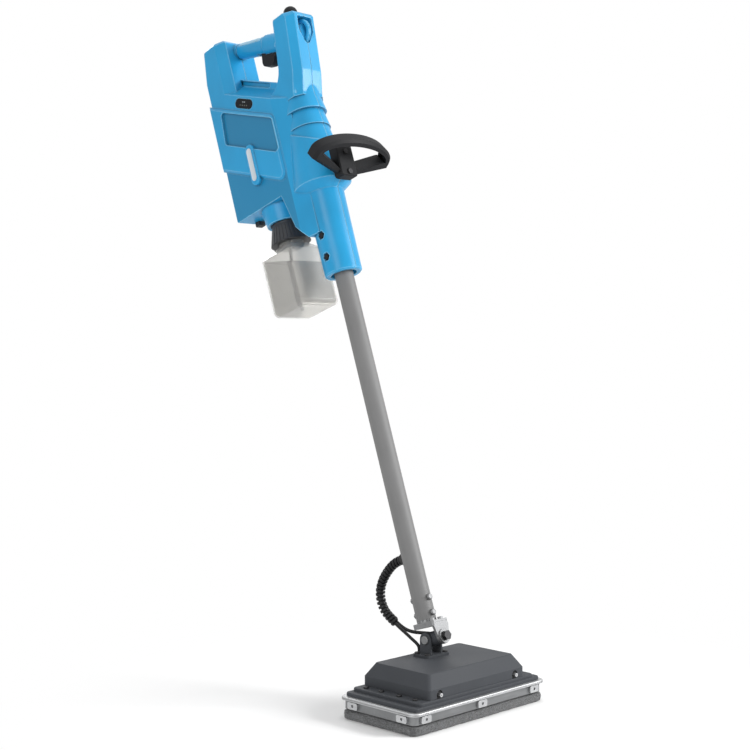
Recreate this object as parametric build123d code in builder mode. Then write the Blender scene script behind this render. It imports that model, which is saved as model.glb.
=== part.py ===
from build123d import *
import os
from math import atan2, cos, hypot, pi, radians, sin, tan

# A cordless floor scrubber, in millimetres. +Z is up and the floor is z = 0 under the middle
# of the pad. X runs along the head, the nozzles look along -Y and the user stands at +Y.
# The upper machine is drawn in its own leaning frame, measured from the swivel centre:
# "fore" points to the front and "up" runs along the pole.

os.makedirs("parts", exist_ok=True)

# Fits
RUN = 0.05  # radial clearance of a pin or screw in its hole
GAP = 0.3  # clearance between faces that move past each other
POLE_FIT = 0.15  # radial clearance of the pole in the housing

# Lean of the pole and the place of the swivel over the head
LEAN = 18.8
JOINT_BACK = 31.0
JOINT_RISE = 27.0

# Pad and plates of the head, from the floor up
PLATE_LENGTH = 318.0
PLATE_WIDTH = 160.0
PAD_PROUD = 4.0
PAD_THICKNESS = 15.0
PAD_CORNER = 14.0
PAD_EDGE = 4.5
HOOK_MARGIN = 13.0
HOOK_THICKNESS = 2.0
PLATE_CORNER = 9.0
PLATE_WALL = 15.0
PLATE_FLOOR = 5.0
PLATE_SIDE = 10.0
PLATE_END = 44.0
RIM_PROUD = 6.0
RIM_HEIGHT = 5.0
RIM_GROOVE = 1.2
BASE_END_INSET = 2.5
BASE_SIDE_INSET = 1.0
BASE_THICKNESS = 6.0
BASE_CORNER = 8.0
BASE_EDGE = 2.0
STEP_END_INSET = 16.0
STEP_SIDE_INSET = 4.0
STEP_THICKNESS = 5.5
CLIP_LENGTH = 22.0
CLIP_HEIGHT = 11.5
CLIP_THICKNESS = 4.0
CLIP_HOLE = 2.3
CLIP_SIDE_MARGIN = 24.0
CLIP_END_MARGIN = 25.0
PLATE_SCREW_SPACING = 40.0
PLATE_SCREW_RADIUS = 2.4
PLATE_SCREW_HEAD_RADIUS = 4.5
PLATE_SCREW_HEAD = 3.0
PLATE_SCREW_BITE = 10.0

# Cover of the head
COVER_END_INSET = 40.35
COVER_SIDE_INSET = 5.8
COVER_WALL_HEIGHT = 15.5
COVER_SLOPE_HEIGHT = 22.0
COVER_SLOPE_INSET = 13.7
COVER_CORNER = 6.0
COVER_EDGE = 2.0
COVER_SHELL = 3.0
NOZZLE_MARGIN = 24.65
NOZZLE_SINK = 1.0
NOZZLE_WIDTH = 11.0
NOZZLE_DEPTH = 18.0
NOZZLE_HEIGHT = 11.5
NOZZLE_TIP = 3.2
NOZZLE_PROUD = 5.0
NOTCH_MARGIN = 1.5
LINE_RADIUS = 2.75
CABLE_RADIUS = 2.5
GROMMET_RADIUS = 4.6
GROMMET_RISE = 3.0
HOSE_ENTRY = (34.0, 40.0)
CABLE_ENTRY = (-4.0, 54.5)

# Vibration drive under the cover
MOTOR_RADIUS = 15.0
MOTOR_LENGTH = 80.0
MOTOR_START = -60.0
MOTOR_RISE = 17.0
SADDLE_WIDTH = 30.0
SADDLE_HEIGHT = 9.0
SADDLE_MARGIN = 6.0
SHAFT_RADIUS = 4.0
BEARING_WIDTH = 9.0
BEARING_HALF = 12.0
WEIGHT_RADIUS = 11.0
WEIGHT_WIDTH = 16.0
WEIGHT_GAP = 4.0

# Swivel: bracket on the head, cross block, bracket on the pole
BRACKET_LENGTH = 56.0
BRACKET_WIDTH = 36.0
BRACKET_THICKNESS = 4.0
BRACKET_CORNER = 5.0
BRACKET_SCREW_X = 22.0
BRACKET_SCREW_Y = 12.0
BRACKET_SCREW_RADIUS = 2.4
BRACKET_SCREW_HEAD_RADIUS = 4.4
BRACKET_SCREW_HEAD = 3.0
EAR_INSIDE = 11.0
EAR_THICKNESS = 3.5
EAR_RADIUS = 12.5
BLOCK_RADIUS = 12.0
BOSS_NECK = 17.0
BOSS_LENGTH = 25.5
PIN_RADIUS = 5.0
PIN_HEAD_RADIUS = 7.5
PIN_HEAD = 3.0
ROLL_BOLT_DEPTH = 18.0
LEG_THICKNESS = 5.0
LEG_RADIUS = 13.0
WASHER_RADIUS = 12.0
WASHER_THICKNESS = 2.5
BOLT_HEAD_RADIUS = 8.5
BOLT_HEAD = 7.0
SWIVEL_HALF_WIDTH = 18.5
SWIVEL_REACH_BACK = 18.0
SWIVEL_TOP = 20.0
SWIVEL_THICKNESS = 5.0
FLANGE_PLATE = 4.0
FLANGE_BOLT_X = 10.0
FLANGE_BOLT_RADIUS = 2.5
FLANGE_BOLT_EDGE = 6.0
FLANGE_BOLT_HEAD = 4.0
FLANGE_BOLT_HEX = 4.5
FLANGE_CORNER = 4.0
RING_HEIGHT = 4.0
RING_SLOTS = 16
RING_SLOT = 2.4

# Pole
POLE_RADIUS = 17.0
POLE_WALL = 1.5
POLE_LENGTH = 727.0
POLE_INSERT = 102.0
PLUG_LENGTH = 52.0
PLUG_BOLT_RADIUS = 3.0
PLUG_BOLT_FIRST = 10.0
PLUG_BOLT_PITCH = 26.0
NUT_RADIUS = 5.2
NUT_HEIGHT = 4.5
BOLT_FLAT = 1.0
CABLE_EXIT = 109.0
EXIT_RADIUS = 9.0
EXIT_FLANGE = 11.0
EXIT_PROUD = 3.0

# Round spine of the housing, up from its lower end
TUBE_LENGTH = 155.0
TUBE_FOOT_RADIUS = 34.0
TUBE_TOP_RADIUS = 35.5
TUBE_CHAMFER = 2.5
MOUTH_RADIUS = 24.0
MOUTH_DEPTH = 11.0
FLANGE_RADIUS = 53.0
FLANGE_RISE = 14.0
SHROUD_LENGTH = 110.0
SHROUD_TOP_RADIUS = 37.0
SLEEVE_RADIUS = 41.5
SLEEVE_HEIGHT = 97.0
BAND_RADIUS = 39.5
BAND_HEIGHT = 32.0
BAND_TAPER = 5.5
CLAMP_FIRST = 32.0
CLAMP_PITCH = 41.0
CLAMP_RADIUS = 3.0
CLAMP_HEAD_RADIUS = 5.5
CLAMP_HEAD = 5.0
CLAMP_RECESS = 8.4
WALL = 3.0

# Front column with the button
COLUMN_HEIGHT = 151.0
COLUMN_HALF_WIDTH = 36.0
COLUMN_FOOT_FORE = 30.0
COLUMN_CHIN_FORE = 41.0
COLUMN_CHIN_RISE = 40.0
COLUMN_TOP_FORE = 54.0
COLUMN_TOP_BACK = 2.0
COLUMN_REAR_LEAN = 12.0
COLUMN_TOP_ROUND = 7.0
COLUMN_CHAMFER = 13.0
COLUMN_REAR_ROUND = 7.0
COLUMN_FRONT_WALL = 21.0
COLUMN_TOP_WALL = 26.0
FLARE_REACH = 41.0
FLARE_FOOT = 27.0
FLARE_HEAD = 64.0
BUTTON_FORE = 22.0
BUTTON_RADIUS = 13.0
BUTTON_RISE = 27.0
BUTTON_TRAVEL = 3.0
BEZEL_RADIUS = 15.5
BEZEL_RISE = 7.0
BUTTON_SWITCH_HEIGHT = 9.0
EYE_RADIUS = 26.0
EYE_BAND = 7.0
EYE_WIDTH = 8.0
EYE_DROP = 34.0
EYE_POCKET_WIDTH = 35.0
EYE_POCKET_HEIGHT = 50.0
EYE_POCKET_POINT = 22.0
EYE_POCKET_CORNER = 4.0
EYE_POCKET_DEPTH = 15.0

# Compartment, deck and rear column
HALF_WIDTH = 44.0
COMPARTMENT_LENGTH = 203.0
COMPARTMENT_DROP = 7.0
FOOT_CHAMFER = 8.0
DECK_SLOPE = 29.1
DECK_DROP = 6.0
SHOULDER_HEIGHT = 19.0
RAIL_HALF_WIDTH = 14.0
RAIL_HEIGHT = 32.0
RAIL_SLOT_LENGTH = 104.0
RAIL_SLOT_WIDTH = 8.5
RAIL_SLOT_DEPTH = 4.0
RAIL_SLOT_BACK = 104.0
GUSSET_REACH = 66.0
GUSSET_HEIGHT = 97.0
REAR_FACE = 132.0
REAR_HALF_WIDTH = 33.0
REAR_CHAMFER_DEPTH = 23.0
REAR_TOP_RISE = 188.0
REAR_TOP_BACK = 186.0
REAR_EDGE = 8.0
PLAN_CORNER = 6.0
PLAN_TAPER = 8.0

# Side pods, badge and display
POD_PROUD = 6.0
POD_FRONT = 37.0
POD_DROP = 31.0
POD_HEIGHT = 136.0
POD_CORNER = 15.0
POD_BEVEL = 5.5
PANEL_DEPTH = 4.5
PANEL_CORNER = 6.0
PANEL_TOP_MARGIN = 33.0
PANEL_FOOT_MARGIN = 27.0
PANEL_FRONT = 41.0
PANEL_DROP = 9.0
PANEL_HEIGHT = 68.0
BADGE_LENGTH = 80.0
BADGE_WIDTH = 23.0
BADGE_PROUD = 2.5
BADGE_BACK = 115.0
BADGE_RISE = 83.0
DISPLAY_LENGTH = 50.0
DISPLAY_WIDTH = 18.0
DISPLAY_BACK = 108.0
DISPLAY_DROP = 16.0
DISPLAY_THICKNESS = 4.0
DISPLAY_PROUD = 0.6
BOARD_LENGTH = 64.0
BOARD_WIDTH = 20.0
BOARD_THICKNESS = 1.6

# Grip and trigger
GRIP_REAR_RADIUS = 15.5
GRIP_FRONT_RADIUS = 18.0
GRIP_REAR_RISE = 165.0
GRIP_FRONT_BACK = 5.0
GRIP_FRONT_RISE = 122.0
GROOVE_DEPTH = 1.6
GROOVE_WIDTH = 2.0
GROOVE_PLACE = 5.0
GRIP_OVERLAP = 12.0
GRIP_COLLAR = 2.0
GRIP_COLLAR_PLACE = 83.0
GRIP_COLLAR_SLOPE = 3.0
INLAY_LENGTH = 64.0
INLAY_WIDTH = 30.0
INLAY_DEPTH = 8.5
INLAY_START = 13.0
TRIGGER_WIDTH = 15.0
TRIGGER_PIN_RADIUS = 2.0
TRIGGER_PIN_LENGTH = 26.0
TRIGGER_PIN_PLACE = 113.0
TRIGGER_PIN_DROP = 6.0
TRIGGER_FRONT = 8.0
TRIGGER_SLOT_MARGIN = 1.0
TRIGGER_ROUND = 11.0
TRIGGER_SLOT_LENGTH = 62.0
TRIGGER_SLOT_RISE = 4.0
SWITCH_LENGTH = 24.0
SWITCH_HEIGHT = 7.0

# Bottle under the compartment
BOTTLE_BACK = 114.0
COLLAR_RADIUS = 41.0
COLLAR_FOOT_RADIUS = 36.5
COLLAR_HEIGHT = 33.0
COLLAR_BORE = 30.5
CAP_RADIUS = 38.0
CAP_TOP_RADIUS = 29.0
CAP_HEIGHT = 48.0
CAP_SKIRT = 35.0
CAP_ENTRY = 9.0
CAP_RIBS = 30
CAP_GROOVE = 2.4
CAP_RIB_DEPTH = 1.2
BOTTLE_WIDTH = 93.0
BOTTLE_CORNER = 14.0
BOTTLE_ROUND = 11.0
BOTTLE_HEIGHT = 110.0
BOTTLE_SHOULDER = 24.0
BOTTLE_WALL = 2.0
NECK_RADIUS = 24.0
NECK_FLANGE = 27.5
NECK_FLANGE_HEIGHT = 2.7
FITTING_RADIUS = 20.0
FITTING_FLANGE = 4.0
FITTING_STEM_RADIUS = 7.0
FITTING_BARB = 14.0
SEAL_THICKNESS = 3.0
DIP_RADIUS = 3.5
DIP_OFFSET = 10.0
DIP_CLEAR = 8.0

# What the compartment holds
PUMP_LENGTH = 46.0
PUMP_WIDTH = 50.0
PUMP_HEIGHT = 62.0
PUMP_PORT_DROP = 9.0
BATTERY_LENGTH = 92.0
BATTERY_HEIGHT = 96.0
BATTERY_SHELF = 4.0
HOSE_RADIUS = 4.5
HOSE_BEND = 18.0
FOOT_LENGTH = 13.0
FOOT_WIDTH = 16.0
FOOT_HEIGHT = 9.0
FOOT_MARGIN = 19.0
FOOT_EDGE = 2.5
SCREW_RADIUS = 2.0
SCREW_HEAD_RADIUS = 4.0
SCREW_HEAD = 3.0
SCREW_BOSS = 4.5
SCREW_REACH = 14.0
SCREW_SINK = 1.5

# Loop handle in front of the shroud
LOOP_HALF_LENGTH = 91.0
LOOP_REACH = 39.0
LOOP_ARM_DROP = 36.0
LOOP_ARM_END = 12.0
LOOP_BAND = 13.0
LOOP_DEPTH = 27.0
LOOP_TILT = 59.0
LOOP_FORE = 84.0
LOOP_RISE = 25.0
LOOP_EDGE = 5.0
LOOP_RIB = 2.5
LOOP_RIB_COUNT = 13
LOOP_RIB_START = 14.0
LOOP_POCKET = 7.5
LOOP_LIP = 3.0
LOOP_BRACKET_WIDTH = 40.0
LOOP_BRACKET_HEIGHT = 62.0
LOOP_BRACKET_DEPTH = 19.0
LOOP_BRACKET_DROP = 9.0
LOOP_SEAT = 54.0
LOOP_CORNER = 6.0
LOOP_BOLT_RADIUS = 3.0
LOOP_BOLT_HEAD = 5.5
LOOP_BOLT_PITCH = 38.0
ARM_PIN_RADIUS = 2.5

# Lines behind the swivel: a wrapped bundle from the pole, then a hose and a cable to the head
WRAP_RADIUS = 7.25
WRAP_WIRE = 2.3
WRAP_TURNS = 22
WRAP_LEAD = 19.0
SAMPLES_PER_TURN = 16
BUNDLE_RADIUS = 2.0
WRAP_ROUTE = [
    (0, 134.0, 216.0),
    (0, 148.0, 195.0),
    (0, 152.5, 174.0),
    (0, 147.0, 154.0),
    (0, 134.0, 139.0),
    (0, 114.0, 129.0),
]
HOSE_ROUTE = [
    (3.0, 113.5, 128.8),
    (3.6, 99.0, 122.6),
    (8.0, 83.0, 121.0),
    (16.0, 67.0, 120.5),
    (25.0, 53.5, 117.5),
    (32.0, 43.5, 110.0),
    (34.0, 40.0, 100.0),
]
CABLE_ROUTE = [
    (-2.8, 113.5, 128.8),
    (-3.4, 99.0, 121.0),
    (-4.4, 84.0, 114.5),
    (-4.8, 71.0, 107.6),
    (-4.4, 60.0, 102.0),
    (-4.0, 54.5, 96.0),
]

# Sizes of the head
pad_length = PLATE_LENGTH + 2 * PAD_PROUD
pad_width = PLATE_WIDTH + 2 * PAD_PROUD
base_length = PLATE_LENGTH - 2 * BASE_END_INSET
base_width = PLATE_WIDTH - 2 * BASE_SIDE_INSET
step_length = PLATE_LENGTH - 2 * STEP_END_INSET
step_width = PLATE_WIDTH - 2 * STEP_SIDE_INSET
cover_length = PLATE_LENGTH - 2 * COVER_END_INSET
cover_width = PLATE_WIDTH - 2 * COVER_SIDE_INSET
clip_side_pitch = PLATE_LENGTH / 2 - CLIP_SIDE_MARGIN
clip_end_pitch = PLATE_WIDTH / 2 - CLIP_END_MARGIN

# Levels of the head
hook_top = PAD_THICKNESS + HOOK_THICKNESS
plate_top = hook_top + PLATE_WALL + RIM_HEIGHT
step_top = plate_top + BASE_THICKNESS + STEP_THICKNESS
cover_shoulder = step_top + COVER_WALL_HEIGHT
cover_top = cover_shoulder + COVER_SLOPE_HEIGHT
bracket_top = cover_top + BRACKET_THICKNESS

# Leaning frame of the upper machine
lean = radians(LEAN)
SWIVEL = Vector(0, JOINT_BACK, cover_top + JOINT_RISE)
UP = Vector(0, sin(lean), cos(lean))
FORE = Vector(0, -cos(lean), sin(lean))
ACROSS = Vector(1, 0, 0)

# Stations along the pole
swivel_top = SWIVEL_TOP + SWIVEL_THICKNESS
flange_top = swivel_top + FLANGE_PLATE
pole_foot = flange_top + RING_HEIGHT
pole_top = pole_foot + POLE_LENGTH
tube_foot = pole_top - POLE_INSERT
flange_under = tube_foot + TUBE_LENGTH
flange_level = flange_under + FLANGE_RISE
shroud_top = flange_level + SHROUD_LENGTH
neck = shroud_top + 2 * BAND_HEIGHT
column_top = neck + COLUMN_HEIGHT
compartment_foot = flange_level + COMPARTMENT_DROP
deck_front = neck - DECK_DROP
deck_tan = tan(radians(DECK_SLOPE))
deck_cos = cos(radians(DECK_SLOPE))


def place(fore, up, x=0.0):
    """Point of the upper machine from its fore, up and sideways distances."""
    return SWIVEL + FORE * fore + UP * up + ACROSS * x


def side_plane(x=0.0):
    """Plane facing -X: local x is fore, local y is up."""
    return Plane(origin=SWIVEL + ACROSS * x, x_dir=FORE, z_dir=-ACROSS)


def level_plane(fore, up):
    """Plane facing up the pole: local x is X, local y points back."""
    return Plane(origin=place(fore, up), x_dir=ACROSS, z_dir=UP)


def front_plane(fore, up, x=0.0):
    """Plane facing the front: local x is X, local y is up."""
    return Plane(origin=place(fore, up, x), x_dir=ACROSS, z_dir=FORE)


def deck(back):
    """Height of the deck's edge at a distance behind the pole."""
    return deck_front + back * deck_tan


def both_sides(points):
    """Closed outline from its +X half."""
    return points + [(-x, y) for x, y in reversed(points)]


def fore_of(shape):
    return (shape.center() - SWIVEL).dot(FORE)


def up_of(shape):
    return (shape.center() - SWIVEL).dot(UP)


def spine_axis(fore=0.0):
    return Axis(place(fore, 0), UP)


def finish(block, name):
    block.part.label = name
    export_step(block.part, f"parts/{name}.step")


# Scrub pad, rounded all round
with BuildPart() as scrub_pad:
    with BuildSketch(Plane.XY):
        RectangleRounded(pad_length, pad_width, PAD_CORNER)
    extrude(amount=PAD_THICKNESS)
    fillet(scrub_pad.faces().filter_by(Axis.Z).edges(), PAD_EDGE)
finish(scrub_pad, "scrub_pad")

# Hook layer between pad and plate
with BuildPart() as hook_layer:
    with BuildSketch(Plane.XY.offset(PAD_THICKNESS)):
        RectangleRounded(pad_length - 2 * HOOK_MARGIN, pad_width - 2 * HOOK_MARGIN, PAD_CORNER)
    extrude(amount=HOOK_THICKNESS)
finish(hook_layer, "hook_layer")

# Vibration plate: a pan with a beaded rim and solid ends for the screws
plate_screw_x = (step_length + cover_length) / 4
plate_screw_y = [-clip_end_pitch, -PLATE_SCREW_SPACING / 2, PLATE_SCREW_SPACING / 2, clip_end_pitch]
plate_screw_points = [(side * plate_screw_x, y) for side in (-1, 1) for y in plate_screw_y]
rim_length = PLATE_LENGTH + 2 * RIM_PROUD
rim_width = PLATE_WIDTH + 2 * RIM_PROUD
rim_corner = PLATE_CORNER + RIM_PROUD
with BuildPart() as vibration_plate:
    with BuildSketch(Plane.XY.offset(hook_top)):
        RectangleRounded(PLATE_LENGTH, PLATE_WIDTH, PLATE_CORNER)
    extrude(amount=PLATE_WALL)
    with BuildSketch(Plane.XY.offset(hook_top + PLATE_WALL)):
        RectangleRounded(rim_length, rim_width, rim_corner)
    extrude(amount=RIM_HEIGHT)
    fillet(vibration_plate.faces().sort_by(Axis.Z)[-1].edges(), 0.35 * RIM_HEIGHT)
    with BuildSketch(Plane.XY.offset(hook_top + PLATE_WALL + (RIM_HEIGHT - RIM_GROOVE) / 2)):
        RectangleRounded(rim_length, rim_width, rim_corner)
        RectangleRounded(
            rim_length - 2 * RIM_GROOVE,
            rim_width - 2 * RIM_GROOVE,
            rim_corner - RIM_GROOVE,
            mode=Mode.SUBTRACT,
        )
    extrude(amount=RIM_GROOVE, mode=Mode.SUBTRACT)
    with BuildSketch(Plane.XY.offset(hook_top + PLATE_FLOOR)):
        Rectangle(PLATE_LENGTH - 2 * PLATE_END, PLATE_WIDTH - 2 * PLATE_SIDE)
    extrude(amount=PLATE_WALL + RIM_HEIGHT, mode=Mode.SUBTRACT)
    with BuildSketch(Plane.XY.offset(plate_top)):
        with Locations(*plate_screw_points):
            Circle(PLATE_SCREW_RADIUS + RUN)
    extrude(amount=-PLATE_SCREW_BITE, mode=Mode.SUBTRACT)
finish(vibration_plate, "vibration_plate")

# Clips round the plate's wall
clip_level = hook_top + PLATE_WALL / 2
clip_planes = []
for side in (-1, 1):
    for x in (-clip_side_pitch, 0, clip_side_pitch):
        wall = Vector(x, side * PLATE_WIDTH / 2, clip_level)
        clip_planes.append(Plane(origin=wall, x_dir=(1, 0, 0), z_dir=(0, side, 0)))
    for y in (-clip_end_pitch, clip_end_pitch):
        wall = Vector(side * PLATE_LENGTH / 2, y, clip_level)
        clip_planes.append(Plane(origin=wall, x_dir=(0, 1, 0), z_dir=(side, 0, 0)))
with BuildPart() as pad_clips:
    for wall_plane in clip_planes:
        with BuildSketch(wall_plane):
            RectangleRounded(CLIP_LENGTH, CLIP_HEIGHT, CLIP_HEIGHT / 4)
            Circle(CLIP_HOLE, mode=Mode.SUBTRACT)
        extrude(amount=CLIP_THICKNESS)
finish(pad_clips, "pad_clips")

# Stepped base plate
with BuildPart() as base_plate:
    with BuildSketch(Plane.XY.offset(plate_top)):
        RectangleRounded(base_length, base_width, BASE_CORNER)
    extrude(amount=BASE_THICKNESS)
    fillet(base_plate.faces().sort_by(Axis.Z)[-1].edges(), BASE_EDGE)
    with BuildSketch(Plane.XY.offset(plate_top + BASE_THICKNESS)):
        RectangleRounded(step_length, step_width, BASE_CORNER)
    extrude(amount=STEP_THICKNESS)
    fillet(base_plate.faces().sort_by(Axis.Z)[-1].edges(), BASE_EDGE)
    with BuildSketch(Plane.XY.offset(step_top)):
        with Locations(*plate_screw_points):
            Circle(PLATE_SCREW_RADIUS + RUN)
    extrude(amount=plate_top - step_top, mode=Mode.SUBTRACT)
finish(base_plate, "base_plate")

with BuildPart() as plate_screws:
    with BuildSketch(Plane.XY.offset(step_top)):
        with Locations(*plate_screw_points):
            Circle(PLATE_SCREW_HEAD_RADIUS)
    extrude(amount=PLATE_SCREW_HEAD)
    fillet(plate_screws.faces().filter_by(Axis.Z).group_by(Axis.Z)[-1].edges(), PLATE_SCREW_HEAD / 2)
    with BuildSketch(Plane.XY.offset(step_top)):
        with Locations(*plate_screw_points):
            Circle(PLATE_SCREW_RADIUS)
    extrude(amount=plate_top - PLATE_SCREW_BITE + RUN - step_top)
finish(plate_screws, "plate_screws")

# Bracket screws and line entries shared by cover and bracket
bracket_screw_points = [
    (sx * BRACKET_SCREW_X, JOINT_BACK + sy * BRACKET_SCREW_Y) for sx in (-1, 1) for sy in (-1, 1)
]
entry_points = [HOSE_ENTRY, CABLE_ENTRY]
nozzle_points = [side * (cover_length / 2 - NOZZLE_MARGIN) for side in (-1, 1)]
notch_half = NOZZLE_WIDTH / 2 + NOTCH_MARGIN

# Cover: a shell with sloping shoulders and two arched nozzle notches
with BuildPart() as motor_cover:
    with BuildSketch(Plane.XY.offset(step_top)):
        RectangleRounded(cover_length, cover_width, COVER_CORNER)
    extrude(amount=COVER_WALL_HEIGHT)
    with BuildSketch(Plane.XY.offset(cover_shoulder)):
        RectangleRounded(cover_length, cover_width, COVER_CORNER)
    with BuildSketch(Plane.XY.offset(cover_top)):
        RectangleRounded(
            cover_length - 2 * COVER_SLOPE_INSET, cover_width - 2 * COVER_SLOPE_INSET, COVER_CORNER
        )
    loft(ruled=True)
    fillet(motor_cover.faces().sort_by(Axis.Z)[-1].edges(), COVER_EDGE)
    inner_length = cover_length - 2 * COVER_SHELL
    inner_width = cover_width - 2 * COVER_SHELL
    with BuildSketch(Plane.XY.offset(step_top)):
        RectangleRounded(inner_length, inner_width, COVER_CORNER / 2)
    extrude(amount=COVER_WALL_HEIGHT, mode=Mode.SUBTRACT)
    with BuildSketch(Plane.XY.offset(cover_shoulder)):
        RectangleRounded(inner_length, inner_width, COVER_CORNER / 2)
    with BuildSketch(Plane.XY.offset(cover_top - COVER_SHELL)):
        RectangleRounded(
            inner_length - 2 * COVER_SLOPE_INSET, inner_width - 2 * COVER_SLOPE_INSET, COVER_CORNER / 2
        )
    loft(ruled=True, mode=Mode.SUBTRACT)
    with BuildSketch(Plane.XZ.offset(cover_width / 2)):
        with Locations(*[(x, step_top) for x in nozzle_points]):
            Rectangle(2 * notch_half, 2 * (NOZZLE_HEIGHT + NOTCH_MARGIN - notch_half))
        with Locations(*[(x, step_top + NOZZLE_HEIGHT + NOTCH_MARGIN - notch_half) for x in nozzle_points]):
            Circle(notch_half)
    extrude(amount=-2 * COVER_SHELL, mode=Mode.SUBTRACT)
    with BuildSketch(Plane.XY.offset(cover_top)):
        with Locations(*bracket_screw_points):
            Circle(BRACKET_SCREW_RADIUS + RUN)
        with Locations(*entry_points):
            Circle(LINE_RADIUS + RUN)
    extrude(amount=-4 * COVER_SHELL, mode=Mode.SUBTRACT)
finish(motor_cover, "motor_cover")

with BuildPart() as cover_grommets:
    with BuildSketch(Plane.XY.offset(cover_top)):
        with Locations(*entry_points):
            Circle(GROMMET_RADIUS)
    extrude(amount=GROMMET_RISE)
    fillet(cover_grommets.faces().filter_by(Axis.Z).group_by(Axis.Z)[-1].edges(), GROMMET_RISE / 2)
finish(cover_grommets, "cover_grommets")

# Nozzles: a block on the base plate with a tip through the cover's notch
nozzle_front = -cover_width / 2 + NOZZLE_SINK
nozzle_axis = step_top + NOZZLE_HEIGHT / 2
with BuildPart() as spray_nozzles:
    with BuildSketch(Plane.XZ.offset(-nozzle_front)):
        with Locations(*[(x, step_top) for x in nozzle_points]):
            Rectangle(NOZZLE_WIDTH, 2 * (NOZZLE_HEIGHT - NOZZLE_WIDTH / 2))
        with Locations(*[(x, step_top + NOZZLE_HEIGHT - NOZZLE_WIDTH / 2) for x in nozzle_points]):
            Circle(NOZZLE_WIDTH / 2)
        with Locations((0, step_top)):
            Rectangle(cover_length, cover_length, align=(Align.CENTER, Align.MAX), mode=Mode.SUBTRACT)
    extrude(amount=-NOZZLE_DEPTH)
    with BuildSketch(Plane.XZ.offset(-nozzle_front)):
        with Locations(*[(x, nozzle_axis) for x in nozzle_points]):
            Circle(NOZZLE_TIP)
    extrude(amount=NOZZLE_PROUD)
    with BuildSketch(Plane.XZ.offset(NOZZLE_PROUD - nozzle_front)):
        with Locations(*[(x, nozzle_axis) for x in nozzle_points]):
            Circle(NOZZLE_TIP / 3)
    extrude(amount=-NOZZLE_PROUD / 2, mode=Mode.SUBTRACT)
finish(spray_nozzles, "spray_nozzles")

# Drive motor in its saddle, with an eccentric shaft in two bearing blocks
drive_axis = step_top + MOTOR_RISE
motor_end = MOTOR_START + MOTOR_LENGTH
bearing_starts = [motor_end + 2 * GAP, motor_end + BEARING_WIDTH + WEIGHT_WIDTH + 2 * WEIGHT_GAP]
shaft_end = bearing_starts[-1] + BEARING_WIDTH
with BuildPart() as drive_motor:
    with BuildSketch(Plane.YZ.offset(MOTOR_START)):
        with Locations((0, drive_axis)):
            Circle(MOTOR_RADIUS)
    extrude(amount=MOTOR_LENGTH)
    chamfer(drive_motor.edges().filter_by(GeomType.CIRCLE), 1.5)
finish(drive_motor, "drive_motor")

with BuildPart() as motor_saddle:
    with BuildSketch(Plane.YZ.offset(MOTOR_START + SADDLE_MARGIN)):
        with Locations((0, step_top + SADDLE_HEIGHT / 2)):
            Rectangle(SADDLE_WIDTH, SADDLE_HEIGHT)
        with Locations((0, drive_axis)):
            Circle(MOTOR_RADIUS + RUN, mode=Mode.SUBTRACT)
    extrude(amount=MOTOR_LENGTH - 2 * SADDLE_MARGIN)
finish(motor_saddle, "motor_saddle")

with BuildPart() as shaft_bearings:
    for start in bearing_starts:
        with BuildSketch(Plane.YZ.offset(start)):
            with Locations((0, drive_axis)):
                Circle(BEARING_HALF)
            with Locations((0, (step_top + drive_axis) / 2)):
                Rectangle(2 * BEARING_HALF, MOTOR_RISE)
            with Locations((0, drive_axis)):
                Circle(SHAFT_RADIUS + RUN, mode=Mode.SUBTRACT)
        extrude(amount=BEARING_WIDTH)
finish(shaft_bearings, "shaft_bearings")

weight_start = bearing_starts[0] + BEARING_WIDTH + WEIGHT_GAP
with BuildPart() as eccentric_shaft:
    with BuildSketch(Plane.YZ.offset(motor_end + GAP)):
        with Locations((0, drive_axis)):
            Circle(SHAFT_RADIUS)
    extrude(amount=shaft_end - motor_end)
    with BuildSketch(Plane.YZ.offset(weight_start)):
        with Locations((0, drive_axis)):
            Circle(WEIGHT_RADIUS)
        with Locations((0, drive_axis + WEIGHT_RADIUS / 2)):
            Rectangle(2 * WEIGHT_RADIUS, WEIGHT_RADIUS, mode=Mode.SUBTRACT)
    extrude(amount=WEIGHT_WIDTH)
finish(eccentric_shaft, "eccentric_shaft")

# Hose under the cover: a tee from the hose entry to both nozzles
nozzle_back = nozzle_front + NOZZLE_DEPTH
spray_run = nozzle_back + HOSE_BEND
hose_over = cover_top - COVER_SHELL - LINE_RADIUS - GAP
with BuildPart() as spray_hose:
    with BuildLine():
        FilletPolyline(
            (nozzle_points[0], nozzle_back, nozzle_axis),
            (nozzle_points[0], spray_run, nozzle_axis),
            (nozzle_points[1], spray_run, nozzle_axis),
            (nozzle_points[1], nozzle_back, nozzle_axis),
            radius=0.6 * HOSE_BEND,
        )
    with BuildSketch(Plane(origin=(nozzle_points[0], nozzle_back, nozzle_axis), z_dir=(0, 1, 0))):
        Circle(LINE_RADIUS)
    sweep()
    with BuildLine():
        FilletPolyline(
            (HOSE_ENTRY[0], spray_run, nozzle_axis),
            (HOSE_ENTRY[0], spray_run, hose_over),
            (HOSE_ENTRY[0], HOSE_ENTRY[1], hose_over),
            radius=2 * LINE_RADIUS,
        )
    with BuildSketch(Plane(origin=(HOSE_ENTRY[0], spray_run, nozzle_axis), z_dir=(0, 0, 1))):
        Circle(LINE_RADIUS)
    sweep()
    with BuildSketch(Plane.XY.offset(cover_top)):
        with Locations(HOSE_ENTRY):
            Circle(LINE_RADIUS)
    extrude(amount=hose_over - cover_top)
finish(spray_hose, "spray_hose")

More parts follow.
